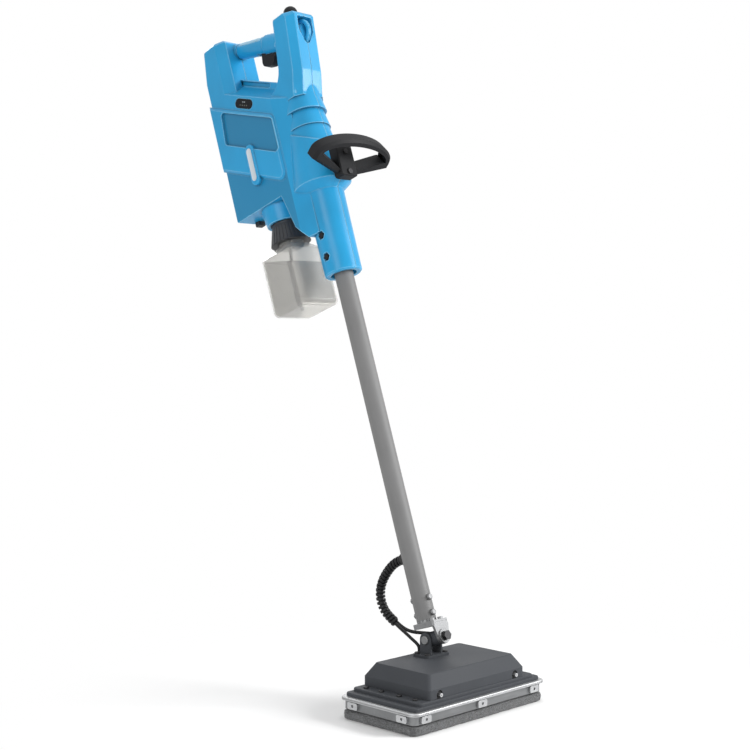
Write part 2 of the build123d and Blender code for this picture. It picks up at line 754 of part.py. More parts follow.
# Bracket on the cover with two ears for the pitch pin
with BuildPart() as base_bracket:
    with BuildSketch(Plane.XY.offset(cover_top)):
        with Locations((0, JOINT_BACK)):
            RectangleRounded(BRACKET_LENGTH, BRACKET_WIDTH, BRACKET_CORNER)
    extrude(amount=BRACKET_THICKNESS)
    with BuildSketch(Plane(origin=SWIVEL + ACROSS * EAR_INSIDE, x_dir=(0, 1, 0), z_dir=ACROSS)):
        Circle(EAR_RADIUS)
        with Locations((0, -JOINT_RISE / 2 + BRACKET_THICKNESS / 2)):
            Rectangle(2 * EAR_RADIUS, JOINT_RISE - BRACKET_THICKNESS)
        Circle(PIN_RADIUS + RUN, mode=Mode.SUBTRACT)
    ear = extrude(amount=EAR_THICKNESS)
    mirror(ear, about=Plane.YZ)
    with BuildSketch(Plane.XY.offset(bracket_top)):
        with Locations(*bracket_screw_points):
            Circle(BRACKET_SCREW_RADIUS + RUN)
    extrude(amount=-BRACKET_THICKNESS, mode=Mode.SUBTRACT)
finish(base_bracket, "base_bracket")

with BuildPart() as bracket_screws:
    with BuildSketch(Plane.XY.offset(bracket_top)):
        with Locations(*bracket_screw_points):
            Circle(BRACKET_SCREW_HEAD_RADIUS)
    extrude(amount=BRACKET_SCREW_HEAD)
    fillet(bracket_screws.faces().filter_by(Axis.Z).group_by(Axis.Z)[-1].edges(), BRACKET_SCREW_HEAD / 2)
    with BuildSketch(Plane.XY.offset(bracket_top)):
        with Locations(*bracket_screw_points):
            Circle(BRACKET_SCREW_RADIUS)
    extrude(amount=-BRACKET_THICKNESS - COVER_SHELL)
finish(bracket_screws, "bracket_screws")

# Pitch pin with a head on both ears
pin_half = EAR_INSIDE + EAR_THICKNESS
with BuildPart() as pitch_pin:
    with BuildSketch(side_plane()):
        Circle(PIN_RADIUS)
    extrude(amount=pin_half, both=True)
    for side in (-1, 1):
        with BuildSketch(side_plane(side * pin_half)):
            Circle(PIN_HEAD_RADIUS)
        extrude(amount=-side * PIN_HEAD)
    chamfer(pitch_pin.edges().group_by(Axis.X)[0] + pitch_pin.edges().group_by(Axis.X)[-1], 1)
finish(pitch_pin, "pitch_pin")

# Cross block: a barrel on the pitch pin and a boss for the roll bolt
block_half = EAR_INSIDE - GAP
with BuildPart() as cross_block:
    with BuildSketch(side_plane()):
        Circle(BLOCK_RADIUS)
    extrude(amount=block_half, both=True)
    with BuildSketch(front_plane(0, 0)):
        Circle(BLOCK_RADIUS)
        Rectangle(2 * block_half, 2 * BLOCK_RADIUS, mode=Mode.INTERSECT)
    extrude(amount=BOSS_NECK)
    with BuildSketch(front_plane(BOSS_NECK, 0)):
        Circle(BLOCK_RADIUS)
    extrude(amount=BOSS_LENGTH - BOSS_NECK)
    with BuildSketch(side_plane()):
        Circle(PIN_RADIUS + RUN)
    extrude(amount=block_half, both=True, mode=Mode.SUBTRACT)
    with BuildSketch(front_plane(BOSS_LENGTH, 0)):
        Circle(PIN_RADIUS + RUN)
    extrude(amount=-ROLL_BOLT_DEPTH, mode=Mode.SUBTRACT)
finish(cross_block, "cross_block")

# Roll bolt, screwed into the block, with its washer
leg_back = BOSS_LENGTH + GAP
leg_front = leg_back + LEG_THICKNESS
washer_back = leg_front + GAP
washer_front = washer_back + WASHER_THICKNESS
with BuildPart() as roll_bolt:
    with BuildSketch(front_plane(washer_front, 0)):
        Circle(PIN_RADIUS)
    extrude(amount=BOSS_LENGTH - ROLL_BOLT_DEPTH + RUN - washer_front)
    with BuildSketch(front_plane(washer_front, 0)):
        RegularPolygon(BOLT_HEAD_RADIUS, 6)
    extrude(amount=BOLT_HEAD)
finish(roll_bolt, "roll_bolt")

with BuildPart() as roll_washer:
    with BuildSketch(front_plane(washer_back, 0)):
        Circle(WASHER_RADIUS)
        Circle(PIN_RADIUS + RUN, mode=Mode.SUBTRACT)
    extrude(amount=WASHER_THICKNESS)
finish(roll_washer, "roll_washer")

# Swivel bracket: a plate under the pole with one leg in front
flange_length = SWIVEL_REACH_BACK + leg_front
flange_middle = (leg_front - SWIVEL_REACH_BACK) / 2
flange_bolt_fore = leg_front - FLANGE_BOLT_EDGE - FLANGE_BOLT_RADIUS
flange_bolt_points = [(side * FLANGE_BOLT_X, flange_middle - flange_bolt_fore) for side in (-1, 1)]
leg_outline = both_sides([
    (SWIVEL_HALF_WIDTH - FLANGE_CORNER, swivel_top),
    (SWIVEL_HALF_WIDTH - FLANGE_CORNER / 4, SWIVEL_TOP),
    (LEG_RADIUS, 0),
])
with BuildPart() as swivel_bracket:
    with BuildSketch(level_plane(flange_middle, SWIVEL_TOP)):
        RectangleRounded(2 * SWIVEL_HALF_WIDTH, flange_length, FLANGE_CORNER)
    extrude(amount=SWIVEL_THICKNESS)
    with BuildSketch(front_plane(leg_back, 0)):
        Polygon(*leg_outline, align=None)
        Circle(LEG_RADIUS)
        Circle(PIN_RADIUS + RUN, mode=Mode.SUBTRACT)
    extrude(amount=LEG_THICKNESS)
    with BuildSketch(level_plane(flange_middle, swivel_top)):
        with Locations(*flange_bolt_points):
            Circle(FLANGE_BOLT_RADIUS + RUN)
    extrude(amount=-SWIVEL_THICKNESS, mode=Mode.SUBTRACT)
finish(swivel_bracket, "swivel_bracket")

# Pole plug: flange, slotted ring and a plug inside the tube
pole_bore = POLE_RADIUS - POLE_WALL
plug_bolt_levels = [pole_foot + PLUG_BOLT_FIRST + i * PLUG_BOLT_PITCH for i in range(2)]
with BuildPart() as pole_plug:
    with BuildSketch(level_plane(flange_middle, swivel_top)):
        RectangleRounded(2 * SWIVEL_HALF_WIDTH, flange_length, FLANGE_CORNER)
        with Locations(*flange_bolt_points):
            Circle(FLANGE_BOLT_RADIUS + RUN, mode=Mode.SUBTRACT)
    extrude(amount=FLANGE_PLATE)
    with BuildSketch(level_plane(0, flange_top)):
        Circle(POLE_RADIUS)
        with PolarLocations(POLE_RADIUS, RING_SLOTS):
            Rectangle(RING_SLOT, RING_SLOT, mode=Mode.SUBTRACT)
    extrude(amount=RING_HEIGHT)
    with BuildSketch(level_plane(0, pole_foot)):
        Circle(pole_bore - RUN)
    extrude(amount=PLUG_LENGTH)
    with BuildSketch(front_plane(0, 0)):
        with Locations(*[(0, level) for level in plug_bolt_levels]):
            Circle(PLUG_BOLT_RADIUS + RUN)
    extrude(amount=POLE_RADIUS, both=True, mode=Mode.SUBTRACT)
finish(pole_plug, "pole_plug")

with BuildPart() as flange_bolts:
    with BuildSketch(level_plane(flange_middle, flange_top)):
        with Locations(*flange_bolt_points):
            RegularPolygon(FLANGE_BOLT_HEX, 6)
    extrude(amount=FLANGE_BOLT_HEAD)
    with BuildSketch(level_plane(flange_middle, flange_top)):
        with Locations(*flange_bolt_points):
            Circle(FLANGE_BOLT_RADIUS)
    extrude(amount=SWIVEL_TOP - flange_top)
finish(flange_bolts, "flange_bolts")

# Pole tube with its cross holes and the round exit of the lines
exit_level = pole_foot + CABLE_EXIT
clamp_levels = [tube_foot + CLAMP_FIRST + i * CLAMP_PITCH for i in range(2)]
with BuildPart() as pole:
    with BuildSketch(level_plane(0, pole_foot)):
        Circle(POLE_RADIUS)
        Circle(pole_bore, mode=Mode.SUBTRACT)
    extrude(amount=POLE_LENGTH)
    with BuildSketch(front_plane(0, 0)):
        with Locations(*[(0, level) for level in plug_bolt_levels]):
            Circle(PLUG_BOLT_RADIUS + RUN)
    extrude(amount=2 * POLE_RADIUS, both=True, mode=Mode.SUBTRACT)
    with BuildSketch(front_plane(0, exit_level)):
        Circle(EXIT_RADIUS)
    extrude(amount=-2 * POLE_RADIUS, mode=Mode.SUBTRACT)
    with BuildSketch(side_plane()):
        with Locations(*[(0, level) for level in clamp_levels]):
            Circle(CLAMP_RADIUS + RUN)
    extrude(amount=2 * POLE_RADIUS, both=True, mode=Mode.SUBTRACT)
finish(pole, "pole")

# Bolts through the foot of the pole, heads in front and nuts behind
with BuildPart() as plug_bolts:
    with BuildSketch(front_plane(POLE_RADIUS + BOLT_FLAT, 0)):
        with Locations(*[(0, level) for level in plug_bolt_levels]):
            Circle(NUT_RADIUS)
    extrude(amount=NUT_HEIGHT)
    head_edges = plug_bolts.edges().filter_by(lambda edge: fore_of(edge) > POLE_RADIUS + NUT_HEIGHT)
    fillet(head_edges, NUT_HEIGHT / 2)
    with BuildSketch(front_plane(POLE_RADIUS + BOLT_FLAT, 0)):
        with Locations(*[(0, level) for level in plug_bolt_levels]):
            Circle(PLUG_BOLT_RADIUS)
    extrude(amount=-2 * POLE_RADIUS - 2 * BOLT_FLAT - NUT_HEIGHT)
finish(plug_bolts, "plug_bolts")

with BuildPart() as plug_nuts:
    with BuildSketch(front_plane(-POLE_RADIUS - BOLT_FLAT, 0)):
        with Locations(*[(0, level) for level in plug_bolt_levels]):
            RegularPolygon(NUT_RADIUS, 6)
            Circle(PLUG_BOLT_RADIUS + RUN, mode=Mode.SUBTRACT)
    extrude(amount=-NUT_HEIGHT)
finish(plug_nuts, "plug_nuts")

# Grommet at the exit, saddled on the pole
exit_face = POLE_RADIUS + EXIT_PROUD
with BuildPart() as cable_grommet:
    with BuildSketch(front_plane(-exit_face, exit_level)):
        Circle(EXIT_FLANGE)
    extrude(amount=POLE_RADIUS)
    with BuildSketch(level_plane(0, exit_level)):
        Circle(POLE_RADIUS + RUN)
    extrude(amount=2 * EXIT_FLANGE, both=True, mode=Mode.SUBTRACT)
    with BuildSketch(front_plane(-exit_face, exit_level)):
        Circle(EXIT_RADIUS - RUN)
    extrude(amount=EXIT_PROUD + 2 * POLE_WALL)
    fillet(cable_grommet.edges().filter_by(GeomType.CIRCLE).sort_by(Axis.Y)[-1], 1)
finish(cable_grommet, "cable_grommet")

# Round spine of the housing
band_foot = BAND_RADIUS - BAND_TAPER
spine_profile = [
    (0, tube_foot),
    (TUBE_FOOT_RADIUS - TUBE_CHAMFER, tube_foot),
    (TUBE_FOOT_RADIUS, tube_foot + TUBE_CHAMFER),
    (TUBE_TOP_RADIUS, flange_under),
    (FLANGE_RADIUS, flange_level),
    (SHROUD_TOP_RADIUS, shroud_top),
    (BAND_RADIUS, shroud_top),
    (band_foot, shroud_top + BAND_HEIGHT),
    (BAND_RADIUS, shroud_top + BAND_HEIGHT),
    (band_foot, neck),
    (band_foot, neck + COLUMN_CHIN_RISE),
    (0, neck + COLUMN_CHIN_RISE),
]
with BuildPart() as spine:
    with BuildSketch(side_plane()):
        Polygon(*spine_profile, align=None)
    revolve(axis=spine_axis())

# Sleeve over the spine's foot, cut off along the slope of the deck
sleeve_top = flange_level + SLEEVE_HEIGHT
sleeve_end = sleeve_top + 2 * FLANGE_RADIUS * deck_tan
sleeve_narrowing = (FLANGE_RADIUS - SLEEVE_RADIUS) / SLEEVE_HEIGHT
with BuildPart() as sleeve:
    with BuildSketch(side_plane()):
        Polygon(
            (0, flange_level),
            (FLANGE_RADIUS, flange_level),
            (FLANGE_RADIUS - sleeve_narrowing * (sleeve_end - flange_level), sleeve_end),
            (0, sleeve_end),
            align=None,
        )
    revolve(axis=spine_axis())
    split(
        bisect_by=Plane(origin=place(0, sleeve_top), x_dir=ACROSS, z_dir=UP + FORE * deck_tan),
        keep=Keep.BOTTOM,
    )

# Front column: leaning front, flared foot behind, chamfered front corners
column_front_top = column_top - DECK_DROP
column_outline = [
    (COLUMN_FOOT_FORE, neck),
    (COLUMN_CHIN_FORE, neck + COLUMN_CHIN_RISE),
    (COLUMN_TOP_FORE, column_front_top),
    (COLUMN_TOP_FORE - COLUMN_TOP_ROUND / 2, column_top),
    (COLUMN_TOP_BACK + COLUMN_TOP_ROUND, column_top),
    (COLUMN_TOP_BACK, column_front_top),
    (COLUMN_TOP_BACK - COLUMN_REAR_LEAN, neck + FLARE_HEAD),
]
rear_slope = (-COLUMN_REAR_LEAN, neck + FLARE_HEAD - column_front_top)
flare_end = (-FLARE_REACH, neck + FLARE_FOOT)
with BuildPart() as column:
    with BuildSketch(side_plane()):
        with BuildLine():
            Polyline(*column_outline)
            TangentArc(column_outline[-1], flare_end, tangent=rear_slope)
            Polyline(
                flare_end,
                (-FLARE_REACH, neck - DECK_DROP),
                (COLUMN_FOOT_FORE, neck - DECK_DROP),
                column_outline[0],
            )
        make_face()
    extrude(amount=COLUMN_HALF_WIDTH, both=True)
    front_corners = column.edges().filter_by(
        lambda edge: fore_of(edge) > COLUMN_FOOT_FORE and abs(edge.center().X) > 0.9 * COLUMN_HALF_WIDTH
    )
    chamfer(front_corners, COLUMN_CHAMFER)
    rear_corners = column.edges().filter_by(
        lambda edge: fore_of(edge) < COLUMN_TOP_BACK
        and up_of(edge) > neck + FLARE_FOOT
        and abs(edge.center().X) > 0.9 * COLUMN_HALF_WIDTH
    )
    fillet(rear_corners, COLUMN_REAR_ROUND)

# Compartment behind the spine, over the bottle
rear_foot_level = compartment_foot + FOOT_CHAMFER
compartment_side = [
    (-COMPARTMENT_LENGTH, rear_foot_level),
    (-COMPARTMENT_LENGTH + FOOT_CHAMFER, compartment_foot),
    (-GUSSET_REACH, compartment_foot),
    (-0.73 * GUSSET_REACH, compartment_foot - 0.7 * GUSSET_HEIGHT),
    (-0.36 * GUSSET_REACH, compartment_foot - GUSSET_HEIGHT),
    (0, compartment_foot - GUSSET_HEIGHT),
    (0, deck(0)),
    (-COMPARTMENT_LENGTH, deck(COMPARTMENT_LENGTH)),
]
compartment_plan = both_sides([
    (HALF_WIDTH - PLAN_CORNER, COMPARTMENT_LENGTH),
    (HALF_WIDTH, COMPARTMENT_LENGTH - PLAN_CORNER),
    (HALF_WIDTH, POD_FRONT),
    (HALF_WIDTH - PLAN_TAPER, 0),
])
plan_depth = column_top
with BuildPart() as compartment:
    with BuildSketch(side_plane()):
        Polygon(*compartment_side, align=None)
    extrude(amount=2 * HALF_WIDTH, both=True)
    with BuildSketch(level_plane(0, 0)):
        Polygon(*compartment_plan, align=None)
    extrude(amount=2 * plan_depth, mode=Mode.INTERSECT)

# Shoulder and rail along the sloping deck
deck_plane = Plane(
    origin=place(-COMPARTMENT_LENGTH + PLAN_CORNER, deck(COMPARTMENT_LENGTH - PLAN_CORNER)),
    x_dir=ACROSS,
    z_dir=FORE * deck_cos - UP * sin(radians(DECK_SLOPE)),
)
deck_length = (COMPARTMENT_LENGTH - PLAN_CORNER - WALL) / deck_cos
with BuildPart() as shoulder:
    with BuildSketch(deck_plane):
        Polygon(
            *both_sides([
                (HALF_WIDTH, -2 * WALL),
                (HALF_WIDTH, 0),
                (RAIL_HALF_WIDTH, SHOULDER_HEIGHT),
                (RAIL_HALF_WIDTH, RAIL_HEIGHT),
            ]),
            align=None,
        )
    extrude(amount=deck_length)
    with BuildSketch(level_plane(0, 0)):
        Polygon(*compartment_plan, align=None)
    extrude(amount=2 * plan_depth, mode=Mode.INTERSECT)

# Rear column of the handle
rear_top = neck + REAR_TOP_RISE
rear_foot_deck = deck(REAR_FACE) - 2 * SHOULDER_HEIGHT
rear_side = [
    (-REAR_FACE, rear_foot_deck),
    (-REAR_FACE, rear_top - REAR_EDGE),
    (-REAR_FACE - REAR_EDGE, rear_top),
    (-REAR_TOP_BACK + REAR_EDGE, rear_top),
    (-REAR_TOP_BACK, rear_top - REAR_EDGE),
    (-COMPARTMENT_LENGTH, deck(COMPARTMENT_LENGTH) - SHOULDER_HEIGHT),
    (-COMPARTMENT_LENGTH, rear_foot_deck),
]
rear_plan = both_sides([
    (REAR_HALF_WIDTH, REAR_FACE),
    (HALF_WIDTH, REAR_FACE + REAR_CHAMFER_DEPTH),
    (HALF_WIDTH, COMPARTMENT_LENGTH - PLAN_CORNER),
    (HALF_WIDTH - PLAN_CORNER, COMPARTMENT_LENGTH),
])
with BuildPart() as rear_column:
    with BuildSketch(side_plane()):
        Polygon(*rear_side, align=None)
    extrude(amount=2 * HALF_WIDTH, both=True)
    with BuildSketch(level_plane(0, 0)):
        Polygon(*rear_plan, align=None)
    extrude(amount=2 * plan_depth, mode=Mode.INTERSECT)
    top_sides = rear_column.faces().filter_by(lambda face: up_of(face) > rear_top - 1).edges()
    chamfer(top_sides.filter_by(lambda edge: abs(edge.center().X) > REAR_HALF_WIDTH / 2), REAR_EDGE * 0.8)

# Grip between the two columns, with a groove at its rear end and a thicker collar at the trigger
grip_rear = Vector(-REAR_FACE, neck + GRIP_REAR_RISE)
grip_front = Vector(-GRIP_FRONT_BACK, neck + GRIP_FRONT_RISE)
grip_run = hypot(grip_front.X - grip_rear.X, grip_front.Y - grip_rear.Y)
grip_slope = atan2(grip_front.Y - grip_rear.Y, grip_front.X - grip_rear.X)
GRIP_ALONG = FORE * cos(grip_slope) + UP * sin(grip_slope)
GRIP_UP = UP * cos(grip_slope) - FORE * sin(grip_slope)
grip_root = place(grip_rear.X, grip_rear.Y)


def grip_plane(along, rise=0.0, x=0.0):
    """Plane facing -X on the grip: local x runs to the front, local y is up."""
    origin = grip_root + GRIP_ALONG * along + GRIP_UP * rise + ACROSS * x
    return Plane(origin=origin, x_dir=GRIP_ALONG, z_dir=-ACROSS)


with BuildPart() as grip:
    with BuildSketch(grip_plane(0)):
        Polygon(
            (-GRIP_OVERLAP, 0),
            (-GRIP_OVERLAP, GRIP_REAR_RADIUS),
            (GROOVE_PLACE, GRIP_REAR_RADIUS),
            (GROOVE_PLACE, GRIP_REAR_RADIUS - GROOVE_DEPTH),
            (GROOVE_PLACE + GROOVE_WIDTH, GRIP_REAR_RADIUS - GROOVE_DEPTH),
            (GROOVE_PLACE + GROOVE_WIDTH, GRIP_REAR_RADIUS),
            (GRIP_COLLAR_PLACE, GRIP_FRONT_RADIUS),
            (GRIP_COLLAR_PLACE + GRIP_COLLAR_SLOPE, GRIP_FRONT_RADIUS + GRIP_COLLAR),
            (grip_run + GRIP_OVERLAP, GRIP_FRONT_RADIUS + GRIP_COLLAR),
            (grip_run + GRIP_OVERLAP, 0),
            align=None,
        )
    revolve(axis=Axis(grip_root, GRIP_ALONG))

# Side pods with a recessed panel
pod_outline = [
    (-COMPARTMENT_LENGTH, deck(COMPARTMENT_LENGTH) - POD_DROP),
    (-POD_FRONT, deck(POD_FRONT) - POD_DROP),
    (-POD_FRONT, deck(POD_FRONT) - POD_DROP - POD_HEIGHT),
    (-COMPARTMENT_LENGTH, deck(COMPARTMENT_LENGTH) - POD_DROP - POD_HEIGHT),
]
panel_top_back = COMPARTMENT_LENGTH - PANEL_TOP_MARGIN
panel_foot_back = COMPARTMENT_LENGTH - PANEL_FOOT_MARGIN
panel_drop = POD_DROP + PANEL_DROP
panel_outline = [
    (-panel_top_back, deck(panel_top_back) - panel_drop),
    (-PANEL_FRONT, deck(PANEL_FRONT) - panel_drop),
    (-PANEL_FRONT, deck(PANEL_FRONT) - panel_drop - PANEL_HEIGHT),
    (-panel_foot_back, deck(panel_foot_back) - panel_drop - PANEL_HEIGHT),
]
pod_face = HALF_WIDTH + POD_PROUD
with BuildPart() as pod:
    with BuildSketch(side_plane(-HALF_WIDTH + WALL)):
        Polygon(*pod_outline, align=None)
        fillet(vertices().sort_by(Axis.X)[-2:], POD_CORNER)
    extrude(amount=POD_PROUD + WALL)
    chamfer(pod.faces().sort_by(Axis.X)[0].edges(), POD_BEVEL)
    with BuildSketch(side_plane(-pod_face)):
        Polygon(*panel_outline, align=None)
        fillet(vertices(), PANEL_CORNER)
    extrude(amount=-PANEL_DEPTH, mode=Mode.SUBTRACT)

# Badge plinth upright on the right pod, left bare
badge_level = compartment_foot + BADGE_RISE
with BuildPart() as badge:
    with BuildSketch(side_plane(-HALF_WIDTH)):
        with Locations(Location((-BADGE_BACK, badge_level), 90)):
            SlotOverall(BADGE_LENGTH, BADGE_WIDTH)
    extrude(amount=POD_PROUD + BADGE_PROUD)
    fillet(badge.faces().sort_by(Axis.X)[0].edges(), BADGE_PROUD)

# Collar over the bottle cap
collar_foot = compartment_foot - COLLAR_HEIGHT
with BuildPart() as collar:
    with BuildSketch(side_plane()):
        Polygon(
            (-BOTTLE_BACK, compartment_foot + WALL),
            (-BOTTLE_BACK - COLLAR_RADIUS, compartment_foot + WALL),
            (-BOTTLE_BACK - COLLAR_RADIUS, compartment_foot),
            (-BOTTLE_BACK - COLLAR_FOOT_RADIUS, collar_foot),
            (-BOTTLE_BACK, collar_foot),
            align=None,
        )
    revolve(axis=spine_axis(-BOTTLE_BACK))

# Seat for the loop handle on the shroud
seat_level = flange_level + LOOP_BRACKET_HEIGHT / 2 - LOOP_BRACKET_DROP
with BuildPart() as loop_seat:
    with BuildSketch(front_plane(SHROUD_TOP_RADIUS / 2, flange_level + LOOP_BRACKET_HEIGHT / 2)):
        RectangleRounded(LOOP_BRACKET_WIDTH - 2 * WALL, LOOP_BRACKET_HEIGHT, LOOP_CORNER)
    extrude(amount=LOOP_SEAT - SHROUD_TOP_RADIUS / 2)

# Strap eye on the front column
eye_level = column_top - EYE_DROP
eye_front = COLUMN_CHIN_FORE + (COLUMN_TOP_FORE - COLUMN_CHIN_FORE) * (eye_level - neck) / COLUMN_HEIGHT
with BuildPart() as strap_eye:
    with BuildSketch(side_plane()):
        with Locations((eye_front - EYE_RADIUS / 1.6, eye_level)):
            Circle(EYE_RADIUS)
            Circle(EYE_RADIUS - EYE_BAND, mode=Mode.SUBTRACT)
    extrude(amount=EYE_WIDTH / 2, both=True)
    fillet(strap_eye.faces().filter_by(Axis.X).edges(), EYE_WIDTH / 4)

pocket_outline = both_sides([
    (EYE_POCKET_WIDTH / 2, EYE_POCKET_HEIGHT / 2),
    (EYE_POCKET_WIDTH / 2, EYE_POCKET_POINT - EYE_POCKET_HEIGHT / 2),
    (EYE_POCKET_CORNER, -EYE_POCKET_HEIGHT / 2),
])

# Hollow of the compartment, the shoulder and the rear column
inner_side = [
    (-COMPARTMENT_LENGTH + WALL, rear_foot_level + WALL / 2),
    (-COMPARTMENT_LENGTH + FOOT_CHAMFER + WALL / 2, compartment_foot + WALL),
    (0, compartment_foot + WALL),
    (0, deck(0) - WALL / deck_cos),
    (-COMPARTMENT_LENGTH + WALL, deck(COMPARTMENT_LENGTH - WALL) - WALL / deck_cos),
]
inner_half = HALF_WIDTH - WALL
inner_plan = both_sides([
    (inner_half - PLAN_CORNER, COMPARTMENT_LENGTH - WALL),
    (inner_half, COMPARTMENT_LENGTH - WALL - PLAN_CORNER),
    (inner_half, POD_FRONT),
    (inner_half - PLAN_TAPER, 0),
])
with BuildPart() as compartment_hollow:
    with BuildSketch(side_plane()):
        Polygon(*inner_side, align=None)
    extrude(amount=HALF_WIDTH, both=True)
    with BuildSketch(level_plane(0, 0)):
        Polygon(*inner_plan, align=None)
    extrude(amount=2 * plan_depth, mode=Mode.INTERSECT)

with BuildPart() as shoulder_hollow:
    with BuildSketch(deck_plane):
        Polygon(
            *both_sides([
                (inner_half, -3 * WALL),
                (inner_half, -WALL),
                (RAIL_HALF_WIDTH - WALL, SHOULDER_HEIGHT - 1.3 * WALL),
            ]),
            align=None,
        )
    extrude(amount=deck_length - WALL)
    with BuildSketch(level_plane(0, 0)):
        Polygon(*inner_plan, align=None)
    extrude(amount=2 * plan_depth, mode=Mode.INTERSECT)

rear_hollow_side = [
    (-REAR_FACE - WALL, rear_foot_deck),
    (-REAR_FACE - WALL, rear_top - REAR_EDGE - WALL),
    (-REAR_FACE - REAR_EDGE, rear_top - 2 * WALL),
    (-REAR_TOP_BACK + REAR_EDGE, rear_top - 2 * WALL),
    (-REAR_TOP_BACK + WALL, rear_top - REAR_EDGE - WALL),
    (-COMPARTMENT_LENGTH + WALL, deck(COMPARTMENT_LENGTH) - SHOULDER_HEIGHT),
    (-COMPARTMENT_LENGTH + WALL, rear_foot_deck),
]
rear_hollow_plan = both_sides([
    (REAR_HALF_WIDTH - 2 * WALL, REAR_FACE),
    (REAR_HALF_WIDTH - 2 * WALL, COMPARTMENT_LENGTH),
])
with BuildPart() as rear_hollow:
    with BuildSketch(side_plane()):
        Polygon(*rear_hollow_side, align=None)
    extrude(amount=HALF_WIDTH, both=True)
    with BuildSketch(level_plane(0, 0)):
        Polygon(*rear_hollow_plan, align=None)
    extrude(amount=2 * plan_depth, mode=Mode.INTERSECT)

# Hollow of the shroud above the pole, up into the column
hollow_foot = pole_top + 2 * WALL
with BuildPart() as spine_hollow:
    with BuildSketch(side_plane()):
        Polygon(
            (0, hollow_foot),
            (TUBE_FOOT_RADIUS - WALL, hollow_foot),
            (TUBE_TOP_RADIUS - WALL, flange_under),
            (FLANGE_RADIUS - 1.5 * WALL, flange_level + WALL / 2),
            (SHROUD_TOP_RADIUS - 1.5 * WALL, shroud_top),
            (band_foot - WALL, neck),
            (band_foot - 2 * WALL, neck + COLUMN_CHIN_RISE),
            (0, neck + COLUMN_CHIN_RISE),
            align=None,
        )
    revolve(axis=spine_axis())

column_hollow_top = column_top - COLUMN_TOP_WALL
with BuildPart() as column_hollow:
    with BuildSketch(side_plane()):
        Polygon(
            (COLUMN_CHIN_FORE - COLUMN_FRONT_WALL, neck),
            (COLUMN_CHIN_FORE - COLUMN_FRONT_WALL, neck + COLUMN_CHIN_RISE),
            (COLUMN_TOP_FORE - COLUMN_FRONT_WALL, column_hollow_top),
            (COLUMN_TOP_BACK + WALL, column_hollow_top),
            (COLUMN_TOP_BACK - COLUMN_REAR_LEAN + WALL, neck + FLARE_HEAD),
            (COLUMN_TOP_BACK - COLUMN_REAR_LEAN - WALL, neck),
            align=None,
        )
    extrude(amount=COLUMN_HALF_WIDTH - WALL, both=True)

# Screws of the housing: bosses inside, driven from the left side
screw_margin = 3 * SCREW_HEAD_RADIUS
screw_points = [
    (-GUSSET_REACH - 2 * SCREW_BOSS, compartment_foot + screw_margin, HALF_WIDTH),
    (screw_margin - COMPARTMENT_LENGTH, deck(COMPARTMENT_LENGTH) - screw_margin, HALF_WIDTH),
    ((-REAR_FACE - REAR_TOP_BACK) / 2, rear_top - GRIP_FRONT_RADIUS - REAR_EDGE, HALF_WIDTH),
    (0, column_hollow_top - GRIP_FRONT_RADIUS, COLUMN_HALF_WIDTH),
]
pole_fit = POLE_RADIUS + POLE_FIT
trigger_slot_start = TRIGGER_PIN_PLACE + TRIGGER_FRONT + TRIGGER_SLOT_MARGIN - TRIGGER_SLOT_LENGTH
slot_half = TRIGGER_WIDTH / 2 + GAP
button_foot = column_hollow_top + WALL
display_level = deck(DISPLAY_BACK) - DISPLAY_DROP
display_place = Location((-DISPLAY_BACK, display_level), -DECK_SLOPE)
rail_slot_level = deck(RAIL_SLOT_BACK) + (SHOULDER_HEIGHT + RAIL_HEIGHT) / 2 / deck_cos
rail_slot_place = Location((-RAIL_SLOT_BACK, rail_slot_level), -DECK_SLOPE)

# Levels of the bottle's fixing, from the cap up to the ceiling of the collar
cap_top = collar_foot + CAP_ENTRY
cap_foot = cap_top - CAP_HEIGHT
neck_top = cap_top + GAP + NECK_FLANGE_HEIGHT
collar_ceiling = neck_top + SEAL_THICKNESS
loop_bolt_levels = [seat_level - 4 + side * LOOP_BOLT_PITCH / 2 for side in (-1, 1)]
loop_front = LOOP_SEAT + LOOP_BRACKET_DEPTH

